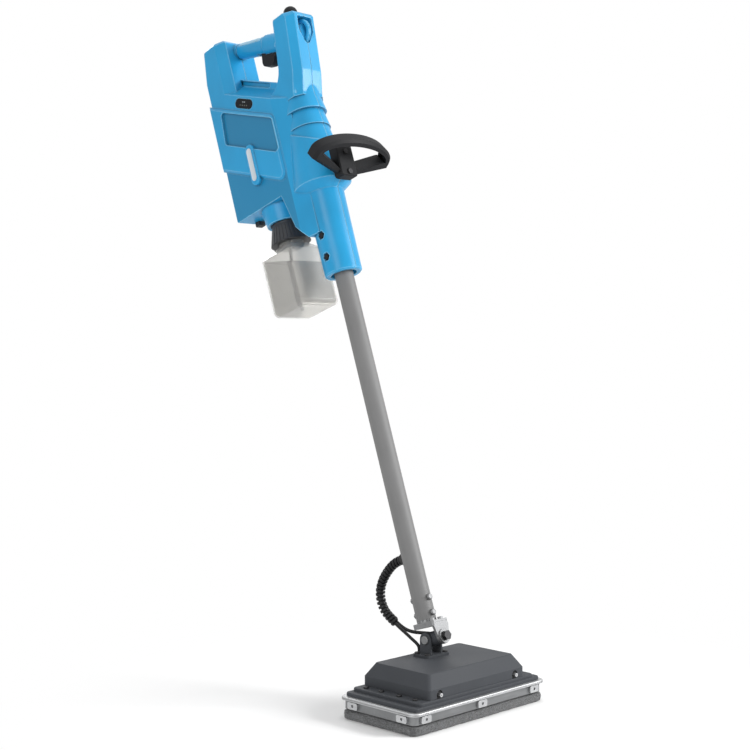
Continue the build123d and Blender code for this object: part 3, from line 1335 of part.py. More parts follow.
# Whole housing, before it is parted on the mid-line
with BuildPart() as housing:
    for block in (spine, sleeve, column, compartment, shoulder, rear_column, grip, collar, loop_seat):
        add(block.part)
    for block in (compartment_hollow, shoulder_hollow, rear_hollow, spine_hollow, column_hollow):
        add(block.part, mode=Mode.SUBTRACT)
    add(pod.part)
    add(mirror(pod.part, about=Plane.YZ, mode=Mode.PRIVATE))
    add(badge.part)
    # screw bosses across the hollows
    for fore, level, face in screw_points:
        with BuildSketch(side_plane()):
            with Locations((fore, level)):
                Circle(SCREW_BOSS)
        extrude(amount=face - WALL / 2, both=True)
    # strap eye over its pocket
    with BuildSketch(front_plane(eye_front - EYE_POCKET_DEPTH, eye_level)):
        Polygon(*pocket_outline, align=None)
        fillet(vertices(), EYE_POCKET_CORNER)
    extrude(amount=2 * EYE_POCKET_DEPTH, mode=Mode.SUBTRACT)
    add(strap_eye.part)
    # pole bore, the wider mouth below it and the way up for the hose
    with BuildSketch(level_plane(0, tube_foot)):
        Circle(pole_fit)
    extrude(amount=POLE_INSERT, mode=Mode.SUBTRACT)
    with BuildSketch(level_plane(0, tube_foot)):
        Circle(MOUTH_RADIUS)
    extrude(amount=MOUTH_DEPTH, mode=Mode.SUBTRACT)
    with BuildSketch(level_plane(0, pole_top)):
        Circle(pole_bore)
    extrude(amount=3 * WALL, mode=Mode.SUBTRACT)
    # bore of the collar, with the hole of the inlet fitting above it
    with BuildSketch(level_plane(-BOTTLE_BACK, collar_foot)):
        Circle(COLLAR_BORE)
    extrude(amount=collar_ceiling - collar_foot, mode=Mode.SUBTRACT)
    with BuildSketch(level_plane(-BOTTLE_BACK, collar_ceiling)):
        Circle(FITTING_STEM_RADIUS + RUN)
    extrude(amount=COLLAR_HEIGHT, mode=Mode.SUBTRACT)
    # clamp bolts through the tube
    with BuildSketch(side_plane()):
        with Locations(*[(0, level) for level in clamp_levels]):
            Circle(CLAMP_RADIUS + RUN)
    extrude(amount=2 * TUBE_TOP_RADIUS, both=True, mode=Mode.SUBTRACT)
    for side in (-1, 1):
        with BuildSketch(side_plane(side * (TUBE_FOOT_RADIUS - CLAMP_HEAD))):
            with Locations(*[(0, level) for level in clamp_levels]):
                RegularPolygon(CLAMP_RECESS, 6)
        extrude(amount=-side * 3 * CLAMP_HEAD, mode=Mode.SUBTRACT)
    # bolt holes of the loop handle's bracket
    with BuildSketch(front_plane(LOOP_SEAT, 0)):
        with Locations(*[(0, level) for level in loop_bolt_levels]):
            Circle(LOOP_BOLT_RADIUS + RUN)
    extrude(amount=-LOOP_BRACKET_DEPTH, mode=Mode.SUBTRACT)
    # button well
    with BuildSketch(level_plane(BUTTON_FORE, button_foot)):
        Circle(BUTTON_RADIUS + GAP)
    extrude(amount=column_top - button_foot, mode=Mode.SUBTRACT)
    # trigger slot and the holes of its pin
    with BuildSketch(grip_plane(trigger_slot_start, TRIGGER_SLOT_RISE)):
        Rectangle(TRIGGER_SLOT_LENGTH, 3 * GRIP_FRONT_RADIUS, align=(Align.MIN, Align.MAX))
    extrude(amount=slot_half, both=True, mode=Mode.SUBTRACT)
    with BuildSketch(grip_plane(TRIGGER_PIN_PLACE, -TRIGGER_PIN_DROP)):
        Circle(TRIGGER_PIN_RADIUS + RUN)
    extrude(amount=TRIGGER_PIN_LENGTH / 2, both=True, mode=Mode.SUBTRACT)
    # inlay channel along the top of the grip
    with BuildSketch(grip_plane(INLAY_START, GRIP_REAR_RADIUS - INLAY_DEPTH)):
        Rectangle(INLAY_LENGTH, 4 * INLAY_DEPTH, align=(Align.MIN, Align.MIN))
    extrude(amount=INLAY_WIDTH / 2, both=True, mode=Mode.SUBTRACT)
    # slots along both sides of the rail
    for side in (-1, 1):
        with BuildSketch(side_plane(side * RAIL_HALF_WIDTH)):
            with Locations(rail_slot_place):
                SlotOverall(RAIL_SLOT_LENGTH, RAIL_SLOT_WIDTH)
        extrude(amount=side * RAIL_SLOT_DEPTH, mode=Mode.SUBTRACT)
    # display window on the right side
    with BuildSketch(side_plane(-HALF_WIDTH - WALL)):
        with Locations(display_place):
            SlotOverall(DISPLAY_LENGTH + 2 * RUN, DISPLAY_WIDTH + 2 * RUN)
    extrude(amount=-3 * WALL, mode=Mode.SUBTRACT)
    # screw holes, sunk on the left side
    for fore, level, face in screw_points:
        with BuildSketch(side_plane(face)):
            with Locations((fore, level)):
                Circle(SCREW_RADIUS + RUN)
        extrude(amount=face + SCREW_REACH, mode=Mode.SUBTRACT)
        with BuildSketch(side_plane(face)):
            with Locations((fore, level)):
                Circle(SCREW_HEAD_RADIUS + GAP)
        extrude(amount=SCREW_HEAD + SCREW_SINK, mode=Mode.SUBTRACT)

with BuildPart() as housing_right:
    add(housing.part)
    split(bisect_by=Plane.YZ, keep=Keep.BOTTOM)
finish(housing_right, "housing_right")

with BuildPart() as housing_left:
    add(housing.part)
    split(bisect_by=Plane.YZ, keep=Keep.TOP)
finish(housing_left, "housing_left")

with BuildPart() as housing_screws:
    for fore, level, face in screw_points:
        head_foot = face - SCREW_SINK - SCREW_HEAD
        with BuildSketch(side_plane(head_foot)):
            with Locations((fore, level)):
                Circle(SCREW_HEAD_RADIUS)
        extrude(amount=-SCREW_HEAD)
        with BuildSketch(side_plane(head_foot)):
            with Locations((fore, level)):
                Circle(SCREW_RADIUS)
        extrude(amount=head_foot + SCREW_REACH - RUN)
finish(housing_screws, "housing_screws")

# Clamp bolts with hexagon heads on the right and nuts on the left
clamp_seat = TUBE_FOOT_RADIUS - CLAMP_HEAD
with BuildPart() as clamp_bolts:
    with BuildSketch(side_plane(-clamp_seat)):
        with Locations(*[(0, level) for level in clamp_levels]):
            RegularPolygon(CLAMP_HEAD_RADIUS, 6)
    extrude(amount=CLAMP_HEAD)
    with BuildSketch(side_plane(-clamp_seat)):
        with Locations(*[(0, level) for level in clamp_levels]):
            Circle(CLAMP_RADIUS)
    extrude(amount=-2 * clamp_seat - CLAMP_HEAD)
finish(clamp_bolts, "clamp_bolts")

with BuildPart() as clamp_nuts:
    with BuildSketch(side_plane(clamp_seat)):
        with Locations(*[(0, level) for level in clamp_levels]):
            RegularPolygon(CLAMP_HEAD_RADIUS, 6)
            Circle(CLAMP_RADIUS + RUN, mode=Mode.SUBTRACT)
    extrude(amount=-CLAMP_HEAD)
finish(clamp_nuts, "clamp_nuts")

# Inlay, rounded with the grip
with BuildPart() as grip_inlay:
    with BuildSketch(grip_plane(0)):
        Polygon(
            (0, 0),
            (0, GRIP_REAR_RADIUS + RUN),
            (GROOVE_PLACE + GROOVE_WIDTH, GRIP_REAR_RADIUS + RUN),
            (GRIP_COLLAR_PLACE, GRIP_FRONT_RADIUS + RUN),
            (GRIP_COLLAR_PLACE, 0),
            align=None,
        )
    revolve(axis=Axis(grip_root, GRIP_ALONG))
    with BuildSketch(grip_plane(INLAY_START, GRIP_REAR_RADIUS - INLAY_DEPTH)):
        Rectangle(INLAY_LENGTH, 4 * INLAY_DEPTH, align=(Align.MIN, Align.MIN))
    extrude(amount=INLAY_WIDTH / 2, both=True, mode=Mode.INTERSECT)
finish(grip_inlay, "grip_inlay")

# Trigger blade on its pin, under its switch
trigger_outline = [
    (-43, -5),
    (-24, -3.5),
    (-6, 4.5),
    (5, 4.5),
    (TRIGGER_FRONT, -4),
    (TRIGGER_FRONT, -15),
    (-4, -19),
    (-6, -35),
    (-37, -35),
    (-41, -10),
]
with BuildPart() as trigger:
    with BuildSketch(grip_plane(TRIGGER_PIN_PLACE, -TRIGGER_PIN_DROP)):
        Polygon(*trigger_outline, align=None)
        fillet(vertices().sort_by(Axis.Y)[:2], TRIGGER_ROUND)
        Circle(TRIGGER_PIN_RADIUS + RUN, mode=Mode.SUBTRACT)
    extrude(amount=TRIGGER_WIDTH / 2, both=True)
finish(trigger, "trigger")

with BuildPart() as trigger_pin:
    with BuildSketch(grip_plane(TRIGGER_PIN_PLACE, -TRIGGER_PIN_DROP)):
        Circle(TRIGGER_PIN_RADIUS)
    extrude(amount=TRIGGER_PIN_LENGTH / 2, both=True)
finish(trigger_pin, "trigger_pin")

with BuildPart() as trigger_switch:
    with BuildSketch(grip_plane(trigger_slot_start, TRIGGER_SLOT_RISE)):
        Rectangle(SWITCH_LENGTH, SWITCH_HEIGHT, align=(Align.MIN, Align.MAX))
    extrude(amount=slot_half, both=True)
finish(trigger_switch, "trigger_switch")

# Push button with its bezel and switch
with BuildPart() as button_bezel:
    with BuildSketch(level_plane(BUTTON_FORE, column_top)):
        Circle(BEZEL_RADIUS)
        Circle(BUTTON_RADIUS + GAP, mode=Mode.SUBTRACT)
    extrude(amount=BEZEL_RISE)
    outer_rim = button_bezel.edges().filter_by(GeomType.CIRCLE).sort_by(SortBy.RADIUS)[-2:]
    fillet(outer_rim.filter_by(lambda edge: up_of(edge) > column_top + 1), 1.2)
finish(button_bezel, "button_bezel")

switch_top = button_foot + BUTTON_SWITCH_HEIGHT
button_base = switch_top + BUTTON_TRAVEL + GAP
button_edge = column_top + BEZEL_RISE + BUTTON_TRAVEL + 1
with BuildPart() as power_button:
    with BuildSketch(side_plane()):
        with BuildLine():
            Polyline(
                (BUTTON_FORE, column_top + BUTTON_RISE),
                (BUTTON_FORE, button_base),
                (BUTTON_FORE + BUTTON_RADIUS, button_base),
                (BUTTON_FORE + BUTTON_RADIUS, button_edge),
            )
            TangentArc(
                (BUTTON_FORE, column_top + BUTTON_RISE),
                (BUTTON_FORE + BUTTON_RADIUS, button_edge),
                tangent=(1, 0),
            )
        make_face()
    revolve(axis=spine_axis(BUTTON_FORE))
finish(power_button, "power_button")

with BuildPart() as button_switch:
    with BuildSketch(level_plane(BUTTON_FORE, button_foot)):
        Rectangle(1.2 * BUTTON_RADIUS, 1.2 * BUTTON_RADIUS)
    extrude(amount=BUTTON_SWITCH_HEIGHT)
finish(button_switch, "button_switch")

# Display window and the board behind it
display_face = HALF_WIDTH + DISPLAY_PROUD
board_face = display_face - DISPLAY_THICKNESS
with BuildPart() as display_panel:
    with BuildSketch(side_plane(-board_face)):
        with Locations(display_place):
            SlotOverall(DISPLAY_LENGTH, DISPLAY_WIDTH)
    extrude(amount=DISPLAY_THICKNESS)
    fillet(display_panel.faces().sort_by(Axis.X)[0].edges(), 0.8 * DISPLAY_PROUD)
finish(display_panel, "display_panel")

with BuildPart() as control_board:
    with BuildSketch(side_plane(-board_face)):
        with Locations(display_place):
            Rectangle(BOARD_LENGTH, BOARD_WIDTH)
    extrude(amount=-BOARD_THICKNESS)
finish(control_board, "control_board")

# Pump on the compartment's floor, battery above it between the side walls
floor_level = compartment_foot + WALL
pump_rear = COMPARTMENT_LENGTH - FOOT_CHAMFER - WALL
pump_front = pump_rear - PUMP_LENGTH
pump_middle = (pump_rear + pump_front) / 2
with BuildPart() as water_pump:
    with BuildSketch(level_plane(-pump_middle, floor_level)):
        RectangleRounded(PUMP_WIDTH, PUMP_LENGTH, 4)
    extrude(amount=PUMP_HEIGHT / 2)
    with BuildSketch(level_plane(-pump_middle, floor_level + PUMP_HEIGHT / 2)):
        Circle(0.42 * PUMP_LENGTH)
    extrude(amount=PUMP_HEIGHT / 2)
finish(water_pump, "water_pump")

battery_rear = COMPARTMENT_LENGTH - WALL - PLAN_CORNER
battery_foot = floor_level + PUMP_HEIGHT + BATTERY_SHELF
with BuildPart() as battery_pack:
    with BuildSketch(level_plane(-battery_rear + BATTERY_LENGTH / 2, battery_foot)):
        Rectangle(2 * inner_half, BATTERY_LENGTH)
    extrude(amount=BATTERY_HEIGHT)
    chamfer(battery_pack.edges().filter_by(Axis.X), 4)
finish(battery_pack, "battery_pack")

# Inlet fitting through the floor, its seal and the dip tube below it
barb_top = floor_level + FITTING_FLANGE + FITTING_BARB
fitting_foot = collar_ceiling - FITTING_FLANGE
with BuildPart() as inlet_fitting:
    with BuildSketch(level_plane(-BOTTLE_BACK, floor_level)):
        Circle(FITTING_RADIUS)
    extrude(amount=FITTING_FLANGE)
    with BuildSketch(level_plane(-BOTTLE_BACK, fitting_foot)):
        Circle(FITTING_STEM_RADIUS)
    extrude(amount=floor_level - fitting_foot)
    with BuildSketch(level_plane(-BOTTLE_BACK, floor_level + FITTING_FLANGE)):
        Circle(HOSE_RADIUS)
    extrude(amount=FITTING_BARB)
finish(inlet_fitting, "inlet_fitting")

with BuildPart() as bottle_seal:
    with BuildSketch(level_plane(-BOTTLE_BACK, neck_top)):
        Circle(NECK_FLANGE)
        Circle(NECK_RADIUS - BOTTLE_WALL, mode=Mode.SUBTRACT)
    extrude(amount=SEAL_THICKNESS)
finish(bottle_seal, "bottle_seal")

bottle_top = cap_foot - BOTTLE_SHOULDER
bottle_foot = bottle_top - BOTTLE_HEIGHT
dip_foot = bottle_foot + BOTTLE_WALL + DIP_CLEAR
dip_route = [
    (-BOTTLE_BACK, fitting_foot),
    (-BOTTLE_BACK, cap_foot + CAP_HEIGHT / 4),
    (-BOTTLE_BACK - DIP_OFFSET, bottle_top),
    (-BOTTLE_BACK - DIP_OFFSET, dip_foot),
]
with BuildPart() as dip_tube:
    with BuildLine():
        FilletPolyline(*[place(*point) for point in dip_route], radius=12 * DIP_RADIUS)
    with BuildSketch(level_plane(-BOTTLE_BACK, fitting_foot)):
        Circle(DIP_RADIUS)
    sweep()
finish(dip_tube, "dip_tube")

# Hoses of the pump
with BuildPart() as suction_hose:
    with BuildLine():
        FilletPolyline(
            place(-BOTTLE_BACK, barb_top),
            place(-BOTTLE_BACK, barb_top + HOSE_BEND),
            place(-pump_front, barb_top + HOSE_BEND),
            radius=0.6 * HOSE_BEND,
        )
    with BuildSketch(level_plane(-BOTTLE_BACK, barb_top)):
        Circle(HOSE_RADIUS)
    sweep()
finish(suction_hose, "suction_hose")

delivery_level = floor_level + PUMP_HEIGHT - PUMP_PORT_DROP
delivery_start = pump_middle - 0.42 * PUMP_LENGTH
with BuildPart() as delivery_hose:
    with BuildLine():
        FilletPolyline(
            place(-delivery_start - HOSE_RADIUS, delivery_level),
            place(0, delivery_level),
            place(0, pole_top - HOSE_BEND),
            radius=HOSE_BEND,
        )
    with BuildSketch(front_plane(-delivery_start - HOSE_RADIUS, delivery_level)):
        Circle(HOSE_RADIUS)
    sweep()
    add(water_pump.part, mode=Mode.SUBTRACT)
finish(delivery_hose, "delivery_hose")

# Ribbed cap round the bottle's neck
skirt_top = cap_foot + CAP_SKIRT
with BuildPart() as cap_grooves:
    for i in range(CAP_RIBS):
        turn = 2 * pi * i / CAP_RIBS
        outward = FORE * cos(turn) + ACROSS * sin(turn)
        groove_plane = Plane(origin=place(-BOTTLE_BACK, 0), x_dir=outward, z_dir=outward.cross(UP))
        with BuildSketch(groove_plane):
            Polygon(
                (CAP_RADIUS - CAP_RIB_DEPTH, cap_foot - 1),
                (CAP_RADIUS + 2, cap_foot - 1),
                (CAP_TOP_RADIUS + 2, skirt_top - 3),
                (CAP_TOP_RADIUS - CAP_RIB_DEPTH + 1.5, skirt_top - 3),
                align=None,
            )
        extrude(amount=CAP_GROOVE / 2, both=True)

with BuildPart() as bottle_cap:
    with BuildSketch(side_plane()):
        Polygon(
            (-BOTTLE_BACK, cap_foot),
            (-BOTTLE_BACK - CAP_RADIUS, cap_foot),
            (-BOTTLE_BACK - CAP_TOP_RADIUS, skirt_top),
            (-BOTTLE_BACK - CAP_TOP_RADIUS, cap_top),
            (-BOTTLE_BACK, cap_top),
            align=None,
        )
    revolve(axis=spine_axis(-BOTTLE_BACK))
    with BuildSketch(level_plane(-BOTTLE_BACK, cap_foot)):
        Circle(NECK_RADIUS + GAP)
    extrude(amount=CAP_HEIGHT, mode=Mode.SUBTRACT)
    add(cap_grooves.part, mode=Mode.SUBTRACT)
finish(bottle_cap, "bottle_cap")

# Square bottle with rounded corners, a sloping shoulder and a flanged neck
shoulder_top = bottle_top + 0.75 * BOTTLE_SHOULDER


def bottle_square(level, inset):
    """Outline of the bottle at a level, drawn in by a wall."""
    with BuildSketch(level_plane(-BOTTLE_BACK, level)) as outline:
        RectangleRounded(BOTTLE_WIDTH - 2 * inset, BOTTLE_WIDTH - 2 * inset, BOTTLE_CORNER - inset)
    return outline.sketch


def neck_square(level, radius):
    """Rounded outline under the neck."""
    with BuildSketch(level_plane(-BOTTLE_BACK, level)) as outline:
        RectangleRounded(2 * radius, 2 * radius, 0.6 * radius)
    return outline.sketch


with BuildPart() as bottle_inside:
    extrude(bottle_square(bottle_foot + BOTTLE_WALL, BOTTLE_WALL), amount=BOTTLE_HEIGHT - BOTTLE_WALL)
    inside_foot = bottle_inside.faces().sort_by(Axis(place(0, 0), UP))[0]
    fillet(inside_foot.edges(), BOTTLE_ROUND - BOTTLE_WALL)
    inside_neck = neck_square(shoulder_top, NECK_RADIUS - BOTTLE_WALL)
    loft([bottle_square(bottle_top, BOTTLE_WALL), inside_neck], ruled=True)
    with BuildSketch(level_plane(-BOTTLE_BACK, shoulder_top)):
        Circle(NECK_RADIUS - BOTTLE_WALL)
    extrude(amount=neck_top - shoulder_top)

with BuildPart() as bottle:
    extrude(bottle_square(bottle_foot, 0), amount=BOTTLE_HEIGHT)
    fillet(bottle.faces().sort_by(Axis(place(0, 0), UP))[0].edges(), BOTTLE_ROUND)
    loft([bottle_square(bottle_top, 0), neck_square(shoulder_top, NECK_RADIUS + BOTTLE_WALL)], ruled=True)
    with BuildSketch(level_plane(-BOTTLE_BACK, shoulder_top)):
        Circle(NECK_RADIUS)
    extrude(amount=neck_top - shoulder_top)
    with BuildSketch(level_plane(-BOTTLE_BACK, cap_top + GAP)):
        Circle(NECK_FLANGE)
    extrude(amount=NECK_FLANGE_HEIGHT)
    add(bottle_inside.part, mode=Mode.SUBTRACT)
finish(bottle, "bottle")

# Rubber foot under the rear of the compartment
with BuildPart() as rear_foot:
    with BuildSketch(level_plane(FOOT_MARGIN - COMPARTMENT_LENGTH, compartment_foot)):
        RectangleRounded(FOOT_WIDTH, FOOT_LENGTH, FOOT_EDGE)
    extrude(amount=-FOOT_HEIGHT)
    fillet(rear_foot.faces().sort_by(Axis(place(0, 0), UP))[0].edges(), FOOT_EDGE / 2)
finish(rear_foot, "rear_foot")

# Bracket of the loop handle on the shroud, with a cross pin for the loop's arms
loop_tilt = radians(LOOP_TILT)
arm_middle = LOOP_ARM_DROP - LOOP_BAND / 2
arm_pin_fore = LOOP_FORE - arm_middle * sin(loop_tilt)
arm_pin_level = flange_level + LOOP_RISE - arm_middle * cos(loop_tilt)
arm_pin_half = LOOP_BRACKET_WIDTH / 2 + LOOP_BAND / 2
with BuildPart() as loop_bracket:
    with BuildSketch(front_plane(LOOP_SEAT, seat_level)):
        RectangleRounded(LOOP_BRACKET_WIDTH, LOOP_BRACKET_HEIGHT, LOOP_CORNER)
    extrude(amount=LOOP_BRACKET_DEPTH)
    chamfer(loop_bracket.edges().filter_by(lambda edge: fore_of(edge) > loop_front - 1), 2)
    with BuildSketch(front_plane(LOOP_SEAT, 0)):
        with Locations(*[(0, level) for level in loop_bolt_levels]):
            Circle(LOOP_BOLT_RADIUS + RUN)
    extrude(amount=LOOP_BRACKET_DEPTH, mode=Mode.SUBTRACT)
    with BuildSketch(side_plane()):
        with Locations((arm_pin_fore, arm_pin_level)):
            Circle(ARM_PIN_RADIUS + RUN)
    extrude(amount=LOOP_BRACKET_WIDTH, both=True, mode=Mode.SUBTRACT)
finish(loop_bracket, "loop_bracket")

with BuildPart() as loop_pin:
    with BuildSketch(side_plane()):
        with Locations((arm_pin_fore, arm_pin_level)):
            Circle(ARM_PIN_RADIUS)
    extrude(amount=arm_pin_half, both=True)
finish(loop_pin, "loop_pin")

with BuildPart() as loop_bracket_bolts:
    with BuildSketch(front_plane(loop_front, 0)):
        with Locations(*[(0, level) for level in loop_bolt_levels]):
            RegularPolygon(LOOP_BOLT_HEAD, 6)
    extrude(amount=LOOP_BOLT_RADIUS)
    with BuildSketch(front_plane(loop_front, 0)):
        with Locations(*[(0, level) for level in loop_bolt_levels]):
            Circle(LOOP_BOLT_RADIUS)
    extrude(amount=-2 * LOOP_BRACKET_DEPTH + RUN)
finish(loop_bracket_bolts, "loop_bracket_bolts")

# Loop handle: an arched band, ribbed on its inside, with two arms to the bracket's sides
loop_plane = Plane(
    origin=place(LOOP_FORE, flange_level + LOOP_RISE),
    x_dir=ACROSS,
    z_dir=FORE * cos(loop_tilt) - UP * sin(loop_tilt),
)
bracket_half = LOOP_BRACKET_WIDTH / 2
inner_half_length = LOOP_HALF_LENGTH - LOOP_BAND
inner_reach = LOOP_REACH - LOOP_BAND
rib_step = (180 - 2 * LOOP_RIB_START) / (LOOP_RIB_COUNT - 1)
rib_turns = [LOOP_RIB_START + i * rib_step for i in range(LOOP_RIB_COUNT)]


def loop_outline(inset, arm_drop):
    """Arch over two arms that fall towards the bracket."""
    half = LOOP_HALF_LENGTH - inset
    arm_end = LOOP_ARM_DROP - LOOP_ARM_END - arm_drop
    with BuildSketch(loop_plane) as outline:
        with BuildLine():
            EllipticalCenterArc((0, 0), half, LOOP_REACH - inset, start_angle=0, arc_size=180)
            Polyline(
                (-half, 0),
                (-half + inset / 4, arm_end),
                (-bracket_half, -arm_drop),
                (bracket_half, -arm_drop),
                (half - inset / 4, arm_end),
                (half, 0),
            )
        make_face()
    return outline.sketch


with BuildPart() as loop_handle:
    extrude(loop_outline(0, LOOP_ARM_DROP), amount=LOOP_DEPTH / 2, both=True)
    chamfer(loop_handle.faces().filter_by(loop_plane).edges(), LOOP_EDGE)
    inner_outline = loop_outline(LOOP_BAND, LOOP_ARM_DROP - LOOP_BAND)
    extrude(inner_outline, amount=LOOP_DEPTH, both=True, mode=Mode.SUBTRACT)
    with BuildSketch(loop_plane):
        Ellipse(inner_half_length + LOOP_POCKET, inner_reach + LOOP_POCKET)
        Ellipse(inner_half_length, inner_reach, mode=Mode.SUBTRACT)
        Rectangle(3 * LOOP_HALF_LENGTH, 2 * LOOP_REACH, align=(Align.CENTER, Align.MAX), mode=Mode.SUBTRACT)
        for turn in rib_turns:
            with Locations(Location((0, 0), turn)):
                Rectangle(2 * LOOP_HALF_LENGTH, LOOP_RIB, mode=Mode.SUBTRACT)
    extrude(amount=LOOP_DEPTH / 2 - LOOP_LIP, both=True, mode=Mode.SUBTRACT)
    with BuildSketch(front_plane(0, flange_level)):
        Rectangle(LOOP_BRACKET_WIDTH, 6 * LOOP_REACH)
    extrude(amount=loop_front + LOOP_BOLT_RADIUS + GAP, mode=Mode.SUBTRACT)
    with BuildSketch(side_plane()):
        with Locations((arm_pin_fore, arm_pin_level)):
            Circle(ARM_PIN_RADIUS + RUN)
    extrude(amount=arm_pin_half + RUN, both=True, mode=Mode.SUBTRACT)
finish(loop_handle, "loop_handle")


def bend_radii(points):
    """Largest bends that the runs of a route leave room for."""
    radii = []
    for before, corner, after in zip(points, points[1:], points[2:]):
        arriving = Vector(corner) - Vector(before)
        leaving = Vector(after) - Vector(corner)
        half_turn = radians(arriving.get_angle(leaving)) / 2
        radii.append(0.45 * min(arriving.length, leaving.length) / tan(half_turn))
    return radii


def route_tube(points, radius, name):
    """Tube along a route of runs and bends, whose radii are printed."""
    radii = bend_radii(points)
    print(name, "bends", [round(value, 1) for value in radii])
    with BuildPart() as tube:
        with BuildLine():
            path = FilletPolyline(*points, radius=radii)
        with BuildSketch(Plane(origin=path @ 0, z_dir=path % 0)):
            Circle(radius)
        sweep()
    section = pi * radius**2
    print(name, "volume over section times length", round(tube.part.volume / (section * path.length), 4))
    finish(tube, name)
    return path


# Bundle inside the wrap, then the hose and the cable down to their grommets
wrap_points = [
    place(-exit_face, exit_level),
    place(-exit_face - WRAP_LEAD, exit_level),
    *WRAP_ROUTE,
]
grommet_top = cover_top + GROMMET_RISE
bundle_line = route_tube(wrap_points, BUNDLE_RADIUS, "line_bundle")
route_tube([*HOSE_ROUTE, (*HOSE_ENTRY, grommet_top)], LINE_RADIUS, "water_hose")
route_tube([*CABLE_ROUTE, (*CABLE_ENTRY, grommet_top)], CABLE_RADIUS, "power_cable")

# Spiral wrap: one wire wound round the bundle, straight at both ends
helix_radius = WRAP_RADIUS - WRAP_WIRE
wrap_length = bundle_line.length
straight_end = 2 * WRAP_WIRE
blend_end = straight_end + 3 * WRAP_WIRE
helix_span = wrap_length - 2 * blend_end


def wrap_point(distance, turn):
    """Point on the wrap from the distance along the bundle and the angle round it."""
    along = bundle_line % (distance / wrap_length)
    beside = along.cross(ACROSS)
    return bundle_line @ (distance / wrap_length) + (beside * cos(turn) + ACROSS * sin(turn)) * helix_radius


def helix_node(index):
    """Point and direction on the wound stretch at a number of half turns."""
    rate = helix_span / (2 * WRAP_TURNS)
    step = 0.01
    point = wrap_point(blend_end + index * rate, pi * (index + 0.5))
    ahead = wrap_point(blend_end + (index + step) * rate, pi * (index + 0.5 + step))
    behind = wrap_point(blend_end + (index - step) * rate, pi * (index + 0.5 - step))
    return point, (ahead - behind).normalized()


def biarc(start, start_along, end, end_along):
    """Two arcs that leave and arrive along given directions."""
    chord = end - start
    both = start_along + end_along
    spread = 2 * (1 - start_along.dot(end_along))
    reach = (hypot(chord.dot(both), (spread * chord.dot(chord)) ** 0.5) - chord.dot(both)) / spread
    middle = (start + start_along * reach + end - end_along * reach) / 2
    first = TangentArc(start, middle, tangent=start_along)
    TangentArc(middle, end, tangent=first % 1)


nodes = [(wrap_point(straight_end, 0), bundle_line % (straight_end / wrap_length))]
nodes += [helix_node(index) for index in range(2 * WRAP_TURNS)]
last_turn = pi * 2 * WRAP_TURNS
last_tangent = bundle_line % (1 - straight_end / wrap_length)
nodes.append((wrap_point(wrap_length - straight_end, last_turn), last_tangent))
with BuildPart() as spiral_wrap:
    with BuildLine() as wrap_line:
        Line(wrap_point(0, 0), nodes[0][0])
        for (start, start_along), (end, end_along) in zip(nodes, nodes[1:]):
            biarc(start, start_along, end, end_along)
        Line(nodes[-1][0], wrap_point(wrap_length, last_turn))
    wrap_path = wrap_line.wire()
    with BuildSketch(Plane(origin=wrap_point(0, 0), z_dir=bundle_line % 0)):
        Circle(WRAP_WIRE)
    sweep()
finish(spiral_wrap, "spiral_wrap")

# Least gap between neighbouring turns of the wrap, on points along it
sample_count = SAMPLES_PER_TURN * WRAP_TURNS
samples = [wrap_path @ (i / sample_count) for i in range(sample_count + 1)]
least = min(
    (samples[i] - samples[j]).length
    for i in range(sample_count + 1)
    for j in range(i + SAMPLES_PER_TURN // 2, min(i + 2 * SAMPLES_PER_TURN, sample_count + 1))
)
print("spiral_wrap least gap", round(least - 2 * WRAP_WIRE, 2))
print("spiral_wrap volume over section times length",
      round(spiral_wrap.part.volume / (pi * WRAP_WIRE**2 * wrap_path.length), 4))
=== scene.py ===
"""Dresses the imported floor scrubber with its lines, pad, bottle fill, plates and finishes."""

from math import cos, pi, radians, sin

import bmesh
import bpy
from bpy.props import FloatProperty, FloatVectorProperty, IntProperty, PointerProperty
from mathutils import Matrix, Vector, noise


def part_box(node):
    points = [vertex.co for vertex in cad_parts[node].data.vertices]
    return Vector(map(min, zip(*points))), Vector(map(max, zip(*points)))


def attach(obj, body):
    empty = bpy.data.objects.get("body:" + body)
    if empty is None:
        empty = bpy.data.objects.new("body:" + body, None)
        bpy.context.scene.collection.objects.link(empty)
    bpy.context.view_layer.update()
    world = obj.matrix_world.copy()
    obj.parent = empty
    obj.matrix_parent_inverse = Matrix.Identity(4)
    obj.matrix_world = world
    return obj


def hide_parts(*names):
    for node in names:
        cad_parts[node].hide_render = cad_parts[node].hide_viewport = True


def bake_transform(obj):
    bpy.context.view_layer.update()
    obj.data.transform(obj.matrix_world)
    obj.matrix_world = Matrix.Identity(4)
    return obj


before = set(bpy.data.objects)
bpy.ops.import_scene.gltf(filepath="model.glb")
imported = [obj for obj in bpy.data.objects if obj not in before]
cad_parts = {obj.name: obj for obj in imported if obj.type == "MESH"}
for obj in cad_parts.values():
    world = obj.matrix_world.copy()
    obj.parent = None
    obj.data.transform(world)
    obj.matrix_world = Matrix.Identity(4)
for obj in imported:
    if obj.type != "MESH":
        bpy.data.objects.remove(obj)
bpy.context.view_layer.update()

bl_info = {
    "name": "Floor Scrubber Dressing",
    "version": (1, 0, 0),
    "blender": (4, 5, 0),
    "location": "3D View > Sidebar > Scrubber",
    "description": "Lines, pad, bottle fill, plates and finishes of an upright floor scrubber",
    "category": "Object",
}

# The pole leans back; the upper machine is measured from the swivel along and across the pole
LEAN = radians(18.8)
SWIVEL = Vector((0.0, 0.031, 0.113))
UP = Vector((0.0, sin(LEAN), cos(LEAN)))
FORE = Vector((0.0, -cos(LEAN), sin(LEAN)))
ACROSS = Vector((1.0, 0.0, 0.0))

# Distances forward of the swivel and up the pole, in metres
BOTTLE_FORE = -0.114
BADGE_FORE = -0.115
BADGE_UP = 0.917

